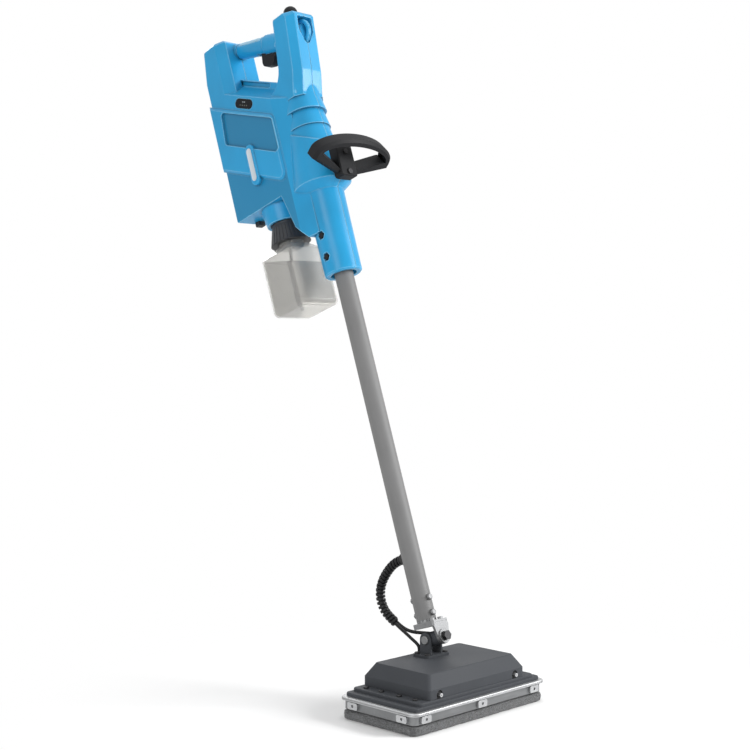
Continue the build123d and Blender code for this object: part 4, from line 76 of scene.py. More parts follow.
# Badge plate: end radius as a share of its width, width of its rim and depth of its field
BADGE_END = 0.48
BADGE_RIM = 0.0012
BADGE_SINK = 0.0004

# Slope of the display window from forward towards the pole, and the height of its lights
DISPLAY_SLOPE = radians(-29.1)
LIGHT_HEIGHT = 0.0006
# Each row of lights: its place across the window and the lights' places along it, in pitches
LIGHT_ROWS = ((0.5, (-0.35, 0.35)), (-0.5, (-1.5, -0.5, 0.5, 1.5)))
LENS_COLOURS = {"figure lens": (0.55, 0.60, 0.62), "dim lens": (0.15, 0.16, 0.13)}

# Painted shade on flat fields of the casing, in the recessed panel and on the side below the pod: depth
# from the mid-plane, its tolerance, upper end and tone
PAINTED_SHADE_FIELDS = ((0.0455, 0.0006, 2.0, 0.62), (0.044, 0.0003, 0.95, 0.7))

# Length of a spray nozzle's bare metal tip, and the height of the rail's bright lip over the floor
NOZZLE_TIP = 0.0048
RAIL_LIP = 0.0315

# Steps of the spiral band in each turn
BAND_STEPS = 24

# Lumps of the pressed fibre: scale of the noise and its share
LUMPS = ((55.0, 1.0), (160.0, 0.7), (420.0, 0.5))
# Share of the lumps that the pad's flat faces get, and the level that the lumps are counted from
FACE_SHARE = 0.35
LUMP_LEVEL = 0.35
# How far the pad's sides draw in at their upper and lower rims
SIDE_DRAW = 0.0012
# Rounding of the pad's and the tape's rims as a share of their thickness
RIM_SHARE = 0.3
# Strands of the felt: scale of the noise and the turn of its direction
STRANDS = ((520.0, 0.0), (680.0, 1.1), (590.0, 2.2))

# An edge that climbs less than this is level
LEVEL_RISE = 0.0005
# Direction along which a mesh's points are counted, so that they come in the same order each run
ORDER = Vector((0.331, 0.577, 0.747))

# Camera in front and to the right of the machine, with its direction and focal length in millimetres
CAMERA_SPOT = (-1.7105, -1.5374, 0.6133)
CAMERA_AIM = Vector((0.70864, 0.70519, -0.02324))
FOCAL_LENGTH = 66.15
# Soft lamps: place, size in metres and power in watts, all turned to the middle of the machine
LAMPS = {
    "key": ((2.2, -2.8, 2.0), 1.5, 150.0),
    "side": ((-3.3, -0.6, 1.6), 1.8, 46.0),
    "top": ((0.2, 0.4, 3.4), 2.2, 26.0),
    "rim": ((1.8, 3.2, 1.9), 1.4, 25.0),
}
LAMP_AIM = Vector((0.0, 0.25, 0.6))
FLOOR_RADIUS = 30.0

WHITE = (1.0, 1.0, 1.0, 1.0)
DUST = (0.5, 0.49, 0.47, 1.0)

# Routes of the lines behind the swivel, as their control points in metres
WRAP_ROUTE = [
    (0.0, 0.095695, 0.240979),
    (0.0, 0.113681, 0.234856),
    (0.0, 0.134, 0.216),
    (0.0, 0.148, 0.195),
    (0.0, 0.1525, 0.174),
    (0.0, 0.147, 0.154),
    (0.0, 0.134, 0.139),
    (0.0, 0.114, 0.129),
]
HOSE_ROUTE = [
    (0.003, 0.1135, 0.1288),
    (0.0044, 0.1005, 0.1205),
    (0.0115, 0.0855, 0.115),
    (0.0235, 0.070, 0.114),
    (0.0325, 0.056, 0.1135),
    (0.0365, 0.0455, 0.1085),
    (0.034, 0.040, 0.0995),
    (0.034, 0.040, 0.089),
]
CABLE_ROUTE = [
    (-0.0028, 0.1135, 0.1288),
    (-0.0034, 0.099, 0.121),
    (-0.0044, 0.084, 0.1145),
    (-0.0048, 0.071, 0.1076),
    (-0.0044, 0.060, 0.102),
    (-0.004, 0.0545, 0.096),
    (-0.004, 0.0545, 0.089),
]


class LineSizes(bpy.types.PropertyGroup):
    """Sizes of the wrapped bundle, the hose and the cable."""

    wrap_diameter: FloatProperty(
        name="Wrap diameter", description="Outer diameter of the spiral wrap",
        default=0.0168, unit="LENGTH",
    )
    wrap_turns: IntProperty(
        name="Wrap turns", description="Turns of the spiral band from the pole to its end",
        default=21,
    )
    band_width: FloatProperty(
        name="Band width", description="Width of the spiral band along the bundle",
        default=0.0050, unit="LENGTH",
    )
    band_thickness: FloatProperty(
        name="Band thickness", description="Thickness of the spiral band",
        default=0.0022, unit="LENGTH",
    )
    hose_diameter: FloatProperty(
        name="Hose diameter", description="Outer diameter of the water hose",
        default=0.0062, unit="LENGTH",
    )
    cable_diameter: FloatProperty(
        name="Cable diameter", description="Outer diameter of the power cable",
        default=0.0056, unit="LENGTH",
    )


class PadSizes(bpy.types.PropertyGroup):
    """Sizes of the fibre pad and the hook tape above it."""

    corner: FloatProperty(
        name="Corner", description="Radius of the pad's corners in plan",
        default=0.014, unit="LENGTH",
    )
    tuft: FloatProperty(
        name="Tuft", description="Height of the lumps in the pad's surface",
        default=0.0013, unit="LENGTH",
    )
    voxel: FloatProperty(
        name="Voxel", description="Spacing of the pad's surface points",
        default=0.0022, unit="LENGTH",
    )


class FillSizes(bpy.types.PropertyGroup):
    """Sizes of the liquid in the bottle."""

    level: FloatProperty(
        name="Level", description="Height of the liquid's surface over the floor",
        default=0.7625, unit="LENGTH",
    )
    wall: FloatProperty(
        name="Wall", description="Distance of the liquid from the bottle's outside",
        default=0.0034, unit="LENGTH",
    )
    width: FloatProperty(
        name="Width", description="Width of the square bottle",
        default=0.093, unit="LENGTH",
    )
    foot: FloatProperty(
        name="Foot", description="Distance of the bottle's foot from the swivel, along the pole",
        default=0.628, unit="LENGTH",
    )
    height: FloatProperty(
        name="Height", description="Height of the bottle below its shoulder",
        default=0.110, unit="LENGTH",
    )
    corner: FloatProperty(
        name="Corner", description="Radius of the bottle's upright corners",
        default=0.014, unit="LENGTH",
    )
    rounding: FloatProperty(
        name="Rounding", description="Radius round the bottle's foot",
        default=0.011, unit="LENGTH",
    )


class PlateSizes(bpy.types.PropertyGroup):
    """Sizes of the badge plate and the display's lights."""

    badge_length: FloatProperty(
        name="Badge length", description="Length of the badge plate",
        default=0.064, unit="LENGTH",
    )
    badge_width: FloatProperty(
        name="Badge width", description="Width of the badge plate",
        default=0.0125, unit="LENGTH",
    )
    badge_thickness: FloatProperty(
        name="Badge thickness", description="Thickness of the badge plate",
        default=0.0012, unit="LENGTH",
    )
    light_diameter: FloatProperty(
        name="Light diameter", description="Diameter of one light of the display",
        default=0.0024, unit="LENGTH",
    )
    light_pitch: FloatProperty(
        name="Light pitch", description="Distance between the lights of a row",
        default=0.0064, unit="LENGTH",
    )
    row_pitch: FloatProperty(
        name="Row pitch", description="Distance between the two rows of lights",
        default=0.0062, unit="LENGTH",
    )


class FinishColours(bpy.types.PropertyGroup):
    """Colours of the finishes."""

    shell: FloatVectorProperty(
        name="Shell", description="Moulded blue casing",
        default=(0.016, 0.295, 0.57), subtype="COLOR",
    )
    pole: FloatVectorProperty(
        name="Pole", description="Grey coat of the pole",
        default=(0.18, 0.18, 0.18), subtype="COLOR",
    )
    cover: FloatVectorProperty(
        name="Cover", description="Dark grey coat of the head",
        default=(0.057, 0.061, 0.068), subtype="COLOR",
    )
    black: FloatVectorProperty(
        name="Black", description="Black mouldings",
        default=(0.016, 0.0165, 0.018), subtype="COLOR",
    )
    pad: FloatVectorProperty(
        name="Pad", description="Grey fibre of the pad",
        default=(0.16, 0.164, 0.168), subtype="COLOR",
    )
    pale: FloatVectorProperty(
        name="Pale", description="Pale inlay of the grip",
        default=(0.30, 0.54, 0.70), subtype="COLOR",
    )
    zinc: FloatVectorProperty(
        name="Zinc", description="Zinc plated steel",
        default=(0.24, 0.243, 0.247), subtype="COLOR",
    )
    silver: FloatVectorProperty(
        name="Silver", description="Bare badge plate",
        default=(0.54, 0.59, 0.63), subtype="COLOR",
    )


def place(fore, up, across=0.0):
    """Point of the upper machine from its distances in metres."""
    return SWIVEL + FORE * fore + UP * up + ACROSS * across


def set_at(centre, along, across, outward):
    """Matrix that turns X, Y and Z to three directions and moves the origin to a centre."""
    return Matrix.Translation(centre) @ Matrix((along, across, outward)).transposed().to_4x4()


def put(tree, kind, inputs=None, **settings):
    """Adds a node with its settings, and the values or links of its inputs."""
    node = tree.nodes.new(kind)
    for key, value in settings.items():
        setattr(node, key, value)
    for key, value in (inputs or {}).items():
        if isinstance(value, bpy.types.NodeSocket):
            tree.links.new(value, node.inputs[key])
        else:
            node.inputs[key].default_value = value
    return node


def object_spot(tree):
    """Place on the surface, in the object's own coordinates."""
    return put(tree, "ShaderNodeTexCoord").outputs["Object"]


def facing(tree):
    """Direction that the surface faces."""
    return put(tree, "ShaderNodeNewGeometry").outputs["Normal"]


def coordinate(tree, vector, axis):
    """One coordinate of a place or direction."""
    return put(tree, "ShaderNodeSeparateXYZ", {0: vector}).outputs[axis]


def maths(tree, operation, *values, **settings):
    """Outcome of an operation on numbers or sockets."""
    node = put(tree, "ShaderNodeMath", dict(enumerate(values)), operation=operation, **settings)
    return node.outputs[0]


def vectors(tree, operation, first, second):
    """Node of an operation on two places or directions."""
    return put(tree, "ShaderNodeVectorMath", {0: first, 1: second}, operation=operation)


def agreement(tree, first, second):
    """How far a place or direction reaches along another."""
    return vectors(tree, "DOT_PRODUCT", first, second).outputs["Value"]


def clouds(tree, spot, scale, detail):
    """Noise over a surface."""
    node = put(tree, "ShaderNodeTexNoise", {"Vector": spot, "Scale": scale, "Detail": detail})
    return node.outputs[0]


def ramp(tree, value, start, end):
    """Mask that goes from nought at one value to one at another."""
    return put(tree, "ShaderNodeMapRange", {"Value": value, "From Min": start, "From Max": end}).outputs[0]


def between(tree, mask, low, high):
    """A mask spread over a range of values."""
    return put(tree, "ShaderNodeMapRange", {"Value": mask, "To Min": low, "To Max": high}).outputs[0]


def scaled(tree, mask, share):
    """A mask times a share."""
    return maths(tree, "MULTIPLY", mask, share)


def mixed(tree, factor, first, second):
    """Colour between two colours or sockets."""
    node = put(tree, "ShaderNodeMix", {0: factor, 6: first, 7: second}, data_type="RGBA")
    return node.outputs[2]


def toned(colour, share):
    """A colour with its brightness changed."""
    return [min(1.0, part * share) for part in colour]


def shade(colour, share=1.0):
    """A colour with its brightness changed, as the four numbers of a colour socket."""
    return (*toned(colour, share), 1.0)


def start_group(name, inputs, outputs):
    """New shader node group with number inputs and the given outputs."""
    tree = bpy.data.node_groups.new(name, "ShaderNodeTree")
    for title, default in inputs.items():
        socket = tree.interface.new_socket(name=title, in_out="INPUT", socket_type="NodeSocketFloat")
        socket.default_value = default
    for title, kind in outputs.items():
        tree.interface.new_socket(name=title, in_out="OUTPUT", socket_type=kind)
    return tree, tree.nodes.new("NodeGroupInput").outputs, tree.nodes.new("NodeGroupOutput").inputs


def moulded_grain_group():
    """Fine spark texture of a mould, and broad patches of gloss."""
    tree, given, made = start_group(
        "Moulded grain",
        {"Grain Scale": 900.0, "Patch Scale": 9.0},
        {"Height": "NodeSocketFloat", "Patches": "NodeSocketFloat"},
    )
    spot = object_spot(tree)
    fine = clouds(tree, spot, given["Grain Scale"], 3.0)
    broad = clouds(tree, spot, given["Patch Scale"], 5.0)
    tree.links.new(fine, made["Height"])
    tree.links.new(ramp(tree, broad, 0.35, 0.65), made["Patches"])


def worn_and_highlighted_edge_group():
    """Rounded normal of the edges, a broken mask along outer edges for wear and painted highlight, and a
    mask of the creases for painted shade.
    """
    tree, given, made = start_group(
        "Worn and highlighted edge",
        {"Radius": 0.0008, "Break Scale": 120.0, "Unbroken": 0.0, "Crease Reach": 0.006},
        {"Normal": "NodeSocketVector", "Mask": "NodeSocketFloat", "Crease": "NodeSocketFloat"},
    )
    rounded = put(tree, "ShaderNodeBevel", {"Radius": given["Radius"]}, samples=6).outputs[0]
    edge = ramp(tree, agreement(tree, rounded, facing(tree)), 0.99, 0.8)
    broken = clouds(tree, object_spot(tree), given["Break Scale"], 4.0)
    filled = maths(tree, "MAXIMUM", ramp(tree, broken, 0.4, 0.62), given["Unbroken"])
    line = maths(tree, "MULTIPLY", edge, filled)
    # Occlusion keeps the edge mask to outer edges, and marks the creases that get painted shade
    around = put(
        tree, "ShaderNodeAmbientOcclusion", {"Distance": given["Crease Reach"]}, samples=6, only_local=True
    )
    open_air = around.outputs["AO"]
    mask = maths(tree, "MULTIPLY", line, ramp(tree, open_air, 0.8, 0.98))
    tree.links.new(rounded, made["Normal"])
    tree.links.new(mask, made["Mask"])
    tree.links.new(ramp(tree, open_air, 0.95, 0.4), made["Crease"])


def settled_dust_group():
    """Mask of thin dust on what faces up."""
    tree, given, made = start_group("Settled dust", {"Scale": 30.0}, {"Mask": "NodeSocketFloat"})
    upward = ramp(tree, coordinate(tree, facing(tree), "Z"), 0.45, 1.0)
    thin = ramp(tree, clouds(tree, object_spot(tree), given["Scale"], 6.0), 0.42, 0.75)
    tree.links.new(maths(tree, "MULTIPLY", upward, thin), made["Mask"])


def brushed_lines_group():
    """Drawn lines of a rolled or brushed metal, along X."""
    tree, given, made = start_group(
        "Brushed lines",
        {"Line Scale": 700.0, "Stretch": 0.03},
        {"Height": "NodeSocketFloat", "Streaks": "NodeSocketFloat"},
    )
    spot = object_spot(tree)
    pull = put(tree, "ShaderNodeCombineXYZ", {"X": given["Stretch"], "Y": 1.0, "Z": 1.0})
    drawn = vectors(tree, "MULTIPLY", spot, pull.outputs[0]).outputs[0]
    lines = clouds(tree, drawn, given["Line Scale"], 3.0)
    broad = clouds(tree, spot, 25.0, 4.0)
    tree.links.new(lines, made["Height"])
    tree.links.new(ramp(tree, maths(tree, "MULTIPLY", lines, broad), 0.12, 0.4), made["Streaks"])


def parting_line_group():
    """Mask of the thin joint between two moulded halves, at X = 0."""
    tree, given, made = start_group("Parting line", {"Half Width": 0.0005}, {"Mask": "NodeSocketFloat"})
    away = maths(tree, "ABSOLUTE", coordinate(tree, object_spot(tree), "X"))
    tree.links.new(maths(tree, "LESS_THAN", away, given["Half Width"]), made["Mask"])


def level_mask_group(name, axis, way):
    """Mask of what lies past a level along one axis of the object, counted up or down."""
    tree, given, made = start_group(name, {"Level": 0.0, "Blur": 0.0002}, {"Mask": "NodeSocketFloat"})
    past = maths(tree, "SUBTRACT", coordinate(tree, object_spot(tree), axis), given["Level"])
    soft = maths(tree, "DIVIDE", scaled(tree, past, way), given["Blur"], use_clamp=True)
    tree.links.new(soft, made["Mask"])


def height_band_group():
    """Mask of what lies above a level of the object."""
    level_mask_group("Height band", "Z", 1.0)


def front_band_group():
    """Mask of what lies in front of a line across the object."""
    level_mask_group("Front band", "Y", -1.0)


def painted_shade_field_group():
    """Mask of a flat field on both sides of the casing, behind and below given lines, that gets painted
    shade.
    """
    tree, given, made = start_group(
        "Painted shade field",
        {"Depth": 0.044, "Band": 0.0003, "Back": 0.038, "Top": 2.0},
        {"Mask": "NodeSocketFloat"},
    )
    spot = object_spot(tree)
    reach = maths(tree, "ABSOLUTE", coordinate(tree, spot, "X"))
    level = maths(tree, "COMPARE", reach, given["Depth"], given["Band"])
    held = vectors(tree, "SUBTRACT", spot, SWIVEL).outputs[0]
    behind = maths(tree, "GREATER_THAN", agreement(tree, held, -FORE), given["Back"])
    below = maths(tree, "LESS_THAN", agreement(tree, held, UP), given["Top"])
    flat = maths(tree, "MULTIPLY", level, behind)
    tree.links.new(maths(tree, "MULTIPLY", flat, below), made["Mask"])


def start_material(name):
    """New material with its tree and its shader."""
    made = bpy.data.materials.new(name)
    made.use_nodes = True
    return made, made.node_tree, made.node_tree.nodes["Principled BSDF"]


def use_group(tree, group, **values):
    """Places a node group in a material with its own values, and gives its outputs."""
    node = tree.nodes.new("ShaderNodeGroup")
    node.node_tree = bpy.data.node_groups[group]
    for title, value in values.items():
        node.inputs[title.replace("_", " ")].default_value = value
    return node.outputs


def give_relief(tree, shader, height, strength, depth, normal=None):
    """Fine relief of a shader's surface, over rounded edges where their normal is given."""
    inputs = {"Height": height, "Strength": strength, "Distance": depth}
    if normal is not None:
        inputs["Normal"] = normal
    bump = put(tree, "ShaderNodeBump", inputs)
    tree.links.new(bump.outputs[0], shader.inputs["Normal"])


def moulded_finish(
    name, colour, gloss, grain=900.0, depth=0.00004, edge=0.0008, wear_and_highlight=0.15, dust=0.08, shine=0.5,
    joint=0.0, rub_and_highlight=None, shade_fields=(), unbroken=0.0, crease_shade=0.0,
):
    """Moulded plastic: grain, patches of gloss, paler rounded edges of wear and painted highlight, painted
    shade in creases and side fields, a little dust and a joint line.
    """
    made, tree, shader = start_material(name)
    grained = use_group(tree, "Moulded grain", Grain_Scale=grain)
    edged = use_group(tree, "Worn and highlighted edge", Radius=edge, Unbroken=unbroken)
    surface = mixed(tree, grained["Patches"], shade(colour, 0.93), shade(colour, 1.05))
    # Painted shade: flat side fields of the casing are darkened to a tone
    for inset, band, top, tone in shade_fields:
        field = use_group(tree, "Painted shade field", Depth=inset, Band=band, Top=top)
        surface = mixed(tree, field["Mask"], surface, shade(colour, tone))
    # Painted shade: creases are darkened by the occlusion mask
    if crease_shade:
        surface = mixed(tree, scaled(tree, edged["Crease"], crease_shade), surface, shade(colour, 0.35))
    # Edges in the rubbed colour: wear, and on the shell a painted highlight along the outer edges
    if rub_and_highlight is None:
        rub_and_highlight = [1.4 * (part + 0.08) for part in colour]
    surface = mixed(tree, scaled(tree, edged["Mask"], wear_and_highlight), surface, shade(rub_and_highlight))
    if dust:
        film = use_group(tree, "Settled dust")
        surface = mixed(tree, scaled(tree, film["Mask"], dust), surface, DUST)
    if joint:
        line = use_group(tree, "Parting line", Half_Width=joint)
        surface = mixed(tree, scaled(tree, line["Mask"], 0.7), surface, shade(colour, 0.2))
    tree.links.new(surface, shader.inputs["Base Color"])
    tree.links.new(between(tree, grained["Patches"], *gloss), shader.inputs["Roughness"])
    shader.inputs["Specular IOR Level"].default_value = shine
    give_relief(tree, shader, grained["Height"], 0.6, depth, edged["Normal"])
    return made


def metal_finish(
    name, colour, gloss, lines=700.0, stretch=0.03, depth=0.00003, edge=0.0005, rim=None, level=0.0,
    spread=(0.82, 1.08),
):
    """Plated or rolled metal: drawn lines, streaks of gloss, brighter edges and a brighter rim."""
    made, tree, shader = start_material(name)
    brushed = use_group(tree, "Brushed lines", Line_Scale=lines, Stretch=stretch)
    edged = use_group(tree, "Worn and highlighted edge", Radius=edge)
    surface = mixed(tree, brushed["Streaks"], shade(colour, spread[0]), shade(colour, spread[1]))
    if rim is not None:
        above = use_group(tree, "Height band", Level=level)
        surface = mixed(tree, above["Mask"], surface, shade(rim))
    surface = mixed(tree, scaled(tree, edged["Mask"], 0.5), surface, shade(colour, 1.3))
    tree.links.new(surface, shader.inputs["Base Color"])
    tree.links.new(between(tree, brushed["Streaks"], *gloss), shader.inputs["Roughness"])
    shader.inputs["Metallic"].default_value = 1.0
    give_relief(tree, shader, brushed["Height"], 0.5, depth, edged["Normal"])
    return made


def nozzle_finish(name, block, tip, line):
    """Dark moulded block whose tip, in front of a line, is bright metal."""
    made, tree, shader = start_material(name)
    grained = use_group(tree, "Moulded grain")
    edged = use_group(tree, "Worn and highlighted edge", Radius=0.0004)
    ahead = use_group(tree, "Front band", Level=line)
    surface = mixed(tree, ahead["Mask"], shade(block), shade(tip))
    tree.links.new(surface, shader.inputs["Base Color"])
    tree.links.new(ahead["Mask"], shader.inputs["Metallic"])
    tree.links.new(between(tree, grained["Patches"], 0.32, 0.42), shader.inputs["Roughness"])
    shader.inputs["Specular IOR Level"].default_value = 0.2
    tree.links.new(edged["Normal"], shader.inputs["Normal"])
    return made


def cloudy_finish(name, colour, spread, grain, patch, clearness, bending):
    """Cloudy see-through stuff with faint patches of tone and gloss, and its shader's own parts."""
    made, tree, shader = start_material(name)
    grained = use_group(tree, "Moulded grain", Grain_Scale=grain, Patch_Scale=patch)
    surface = mixed(tree, grained["Patches"], shade(colour, spread[0]), shade(colour, spread[1]))
    tree.links.new(surface, shader.inputs["Base Color"])
    tree.links.new(between(tree, grained["Patches"], 0.1, 0.14), shader.inputs["Roughness"])
    shader.inputs["Transmission Weight"].default_value = clearness
    shader.inputs["IOR"].default_value = bending
    return made, tree, shader, grained


def milky_finish(name, colour):
    """Translucent blow-moulded bottle wall."""
    made, tree, shader, grained = cloudy_finish(name, colour, (0.985, 1.01), 160.0, 14.0, 0.8, 1.15)
    give_relief(tree, shader, grained["Height"], 0.15, 0.0001)
    return made


def liquid_finish(name, colour):
    """Cloudy cleaning liquid."""
    return cloudy_finish(name, colour, (0.98, 1.02), 30.0, 18.0, 0.88, 1.1)[0]


def fibre_finish(name, colour):
    """Open fibre felt: crossing strands with dark hollows between them."""
    made, tree, shader = start_material(name)
    spot = object_spot(tree)
    crossed = 0.0
    for scale, turn in STRANDS:
        turned = put(tree, "ShaderNodeMapping", {"Vector": spot, "Rotation": (turn, turn / 2, turn)})
        pulled = vectors(tree, "MULTIPLY", turned.outputs[0], (1.0, 0.16, 0.6)).outputs[0]
        strand = put(
            tree, "ShaderNodeTexNoise", {"Vector": pulled, "Scale": scale, "Detail": 3.0, "Distortion": 1.2}
        )
        crossed = maths(tree, "MAXIMUM", crossed, strand.outputs[0])
    lit = ramp(tree, crossed, 0.45, 0.78)
    tree.links.new(mixed(tree, lit, shade(colour, 0.25), shade(colour, 1.5)), shader.inputs["Base Color"])
    tree.links.new(between(tree, lit, 0.75, 0.95), shader.inputs["Roughness"])
    shader.inputs["Sheen Weight"].default_value = 0.25
    give_relief(tree, shader, lit, 0.9, 0.0012)
    return made


def link_piece(name, data):
    """Object of a finished mesh or curve in the scene."""
    piece = bpy.data.objects.new(name, data)
    bpy.context.scene.collection.objects.link(piece)
    return piece


def settle(bm, points):
    """Puts a bmesh's points in a given order, and its edges and faces in the order of their points."""
    for number, vert in enumerate(points):
        vert.index = number

    def rank(item):
        numbers = [vert.index for vert in item.verts]
        return len(points) * min(numbers) + max(numbers)

    bm.verts.sort()
    bm.edges.sort(key=rank)
    bm.faces.sort(key=rank)


def mesh_piece(name, bm, smooth=None, points=None):
    """Object of a finished bmesh in a settled order, shaded smooth below an angle."""
    settle(bm, points or sorted(bm.verts, key=lambda vert: vert.co.dot(ORDER)))
    mesh = bpy.data.meshes.new(name)
    bm.to_mesh(mesh)
    bm.free()
    if smooth is not None:
        mesh.shade_smooth()
        mesh.set_sharp_from_angle(angle=smooth)
    return link_piece(name, mesh)


def start_box(size):
    """Box of a size about the origin, as a bmesh."""
    bm = bmesh.new()
    bmesh.ops.create_cube(bm, size=1.0)
    bmesh.ops.scale(bm, vec=size, verts=bm.verts)
    return bm


def rise(edge):
    """How far an edge climbs."""
    return abs(edge.verts[0].co.z - edge.verts[1].co.z)


def upright_edges(bm):
    """Edges that climb."""
    return [edge for edge in bm.edges if rise(edge) > LEVEL_RISE]


def round_edges(bm, edges, radius, segments):
    """Rounds edges off in a number of steps."""
    bmesh.ops.bevel(
        bm, geom=edges, offset=radius, offset_type="OFFSET", affect="EDGES", segments=segments,
        profile=0.5, material=-1,
    )


def evaluated_mesh(piece, name):
    """Mesh of an object with its modifiers or bevel applied; the object goes."""
    graph = bpy.context.evaluated_depsgraph_get()
    mesh = bpy.data.meshes.new_from_object(piece.evaluated_get(graph))
    mesh.name = name
    bpy.data.objects.remove(piece)
    return mesh


def route_curve(name, points, diameter):
    """Smooth curve with a route's points as its control points."""
    curve = bpy.data.curves.new(name, "CURVE")
    curve.dimensions = "3D"
    curve.resolution_u = 24
    curve.bevel_depth = diameter / 2
    curve.bevel_resolution = 5
    curve.use_fill_caps = True
    spline = curve.splines.new("NURBS")
    spline.points.add(len(points) - 1)
    for spot, point in zip(spline.points, points):
        spot.co = (*point, 1.0)
    spline.order_u = 3
    spline.use_endpoint_u = True
    return link_piece(name, curve)


def route_line(points):
    """Points along a route's smooth curve."""
    mesh = evaluated_mesh(route_curve("route", points, 0.0), "route")
    line = [vert.co.copy() for vert in mesh.vertices]
    bpy.data.meshes.remove(mesh)
    return line


def tube_piece(name, points, diameter):
    """Round tube along a route."""
    mesh = evaluated_mesh(route_curve(name, points, diameter), name)
    mesh.shade_smooth()
    return link_piece(name, mesh)


def line_length(line):
    """Length of a line of points."""
    return sum((after - before).length for before, after in zip(line, line[1:]))


def even_line(line, count):
    """Evenly spaced points of a line, each with its direction."""
    step = line_length(line) / count
    slack = 1e-9
    spots = []
    travelled = 0.0
    for before, after in zip(line, line[1:]):
        run = (after - before).length
        while run > 0 and len(spots) * step <= travelled + run + slack:
            share = (len(spots) * step - travelled) / run
            spots.append((before.lerp(after, share), (after - before).normalized()))
        travelled += run
    return spots


def dress(material, *nodes):
    """Gives CAD nodes a finish."""
    for name in nodes:
        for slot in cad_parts[name].material_slots:
            slot.material = material


class SCRUBBER_OT_stage(bpy.types.Operator):
    """Camera, soft lights, pale floor and white surroundings"""

    bl_idname = "scrubber.stage"
    bl_label = "Stage"

    def execute(self, context):
        scene = context.scene
        scene.view_settings.view_transform = "Standard"
        lens = bpy.data.cameras.new("camera")
        lens.lens = FOCAL_LENGTH
        lens.sensor_width = 36.0
        lens.clip_end = 2 * FLOOR_RADIUS
        scene.camera = self.add_holder(scene, "camera", lens, CAMERA_SPOT, CAMERA_AIM)
        for name, (spot, size, power) in LAMPS.items():
            lamp = bpy.data.lights.new(name, "AREA")
            lamp.size = size
            lamp.energy = power
            self.add_holder(scene, name, lamp, spot, LAMP_AIM - Vector(spot))
        self.make_world(scene)
        self.make_floor()
        return {"FINISHED"}

    def add_holder(self, scene, name, data, spot, aim):
        """Object of a camera or lamp at a place, turned to a direction."""
        holder = bpy.data.objects.new(name, data)
        holder.location = spot
        holder.rotation_euler = aim.to_track_quat("-Z", "Y").to_euler()
        scene.collection.objects.link(holder)
        return holder

    def seen_directly(self, tree):
        """Share of rays that show the surroundings: camera, glossy and transmission rays."""
        ray = put(tree, "ShaderNodeLightPath").outputs
        mirrored = maths(tree, "MAXIMUM", ray["Is Camera Ray"], ray["Is Glossy Ray"])
        return maths(tree, "MAXIMUM", mirrored, ray["Is Transmission Ray"])

    def make_world(self, scene):
        """White where it is seen, softer as a light."""
        world = bpy.data.worlds.new("studio")
        world.use_nodes = True
        tree = world.node_tree
        tree.nodes.clear()
        soft = put(tree, "ShaderNodeBackground", {"Color": WHITE, "Strength": 0.42})
        white = put(tree, "ShaderNodeBackground", {"Color": WHITE, "Strength": 1.0})
        blend = put(
            tree, "ShaderNodeMixShader",
            {0: self.seen_directly(tree), 1: soft.outputs[0], 2: white.outputs[0]},
        )
        put(tree, "ShaderNodeOutputWorld", {"Surface": blend.outputs[0]})
        scene.world = world

    def make_floor(self):
        """Pale floor that keeps the shadow near the head and turns white further off."""
        bm = bmesh.new()
        bmesh.ops.create_circle(bm, cap_ends=True, radius=FLOOR_RADIUS, segments=64)
        floor = mesh_piece("floor", bm)
        made = bpy.data.materials.new("pale floor")
        made.use_nodes = True
        tree = made.node_tree
        tree.nodes.clear()
        away = put(tree, "ShaderNodeVectorMath", {0: object_spot(tree)}, operation="LENGTH")
        far = put(
            tree, "ShaderNodeMapRange",
            {"Value": away.outputs["Value"], "From Min": 0.3, "From Max": 0.75},
            interpolation_type="SMOOTHSTEP",
        )
        shown = maths(tree, "MULTIPLY", far.outputs[0], self.seen_directly(tree))
        matt = put(tree, "ShaderNodeBsdfDiffuse", {"Color": (0.93, 0.93, 0.93, 1.0)})
        white = put(tree, "ShaderNodeEmission", {"Color": WHITE, "Strength": 1.0})
        blend = put(tree, "ShaderNodeMixShader", {0: shown, 1: matt.outputs[0], 2: white.outputs[0]})
        put(tree, "ShaderNodeOutputMaterial", {"Surface": blend.outputs[0]})
        floor.data.materials.append(made)


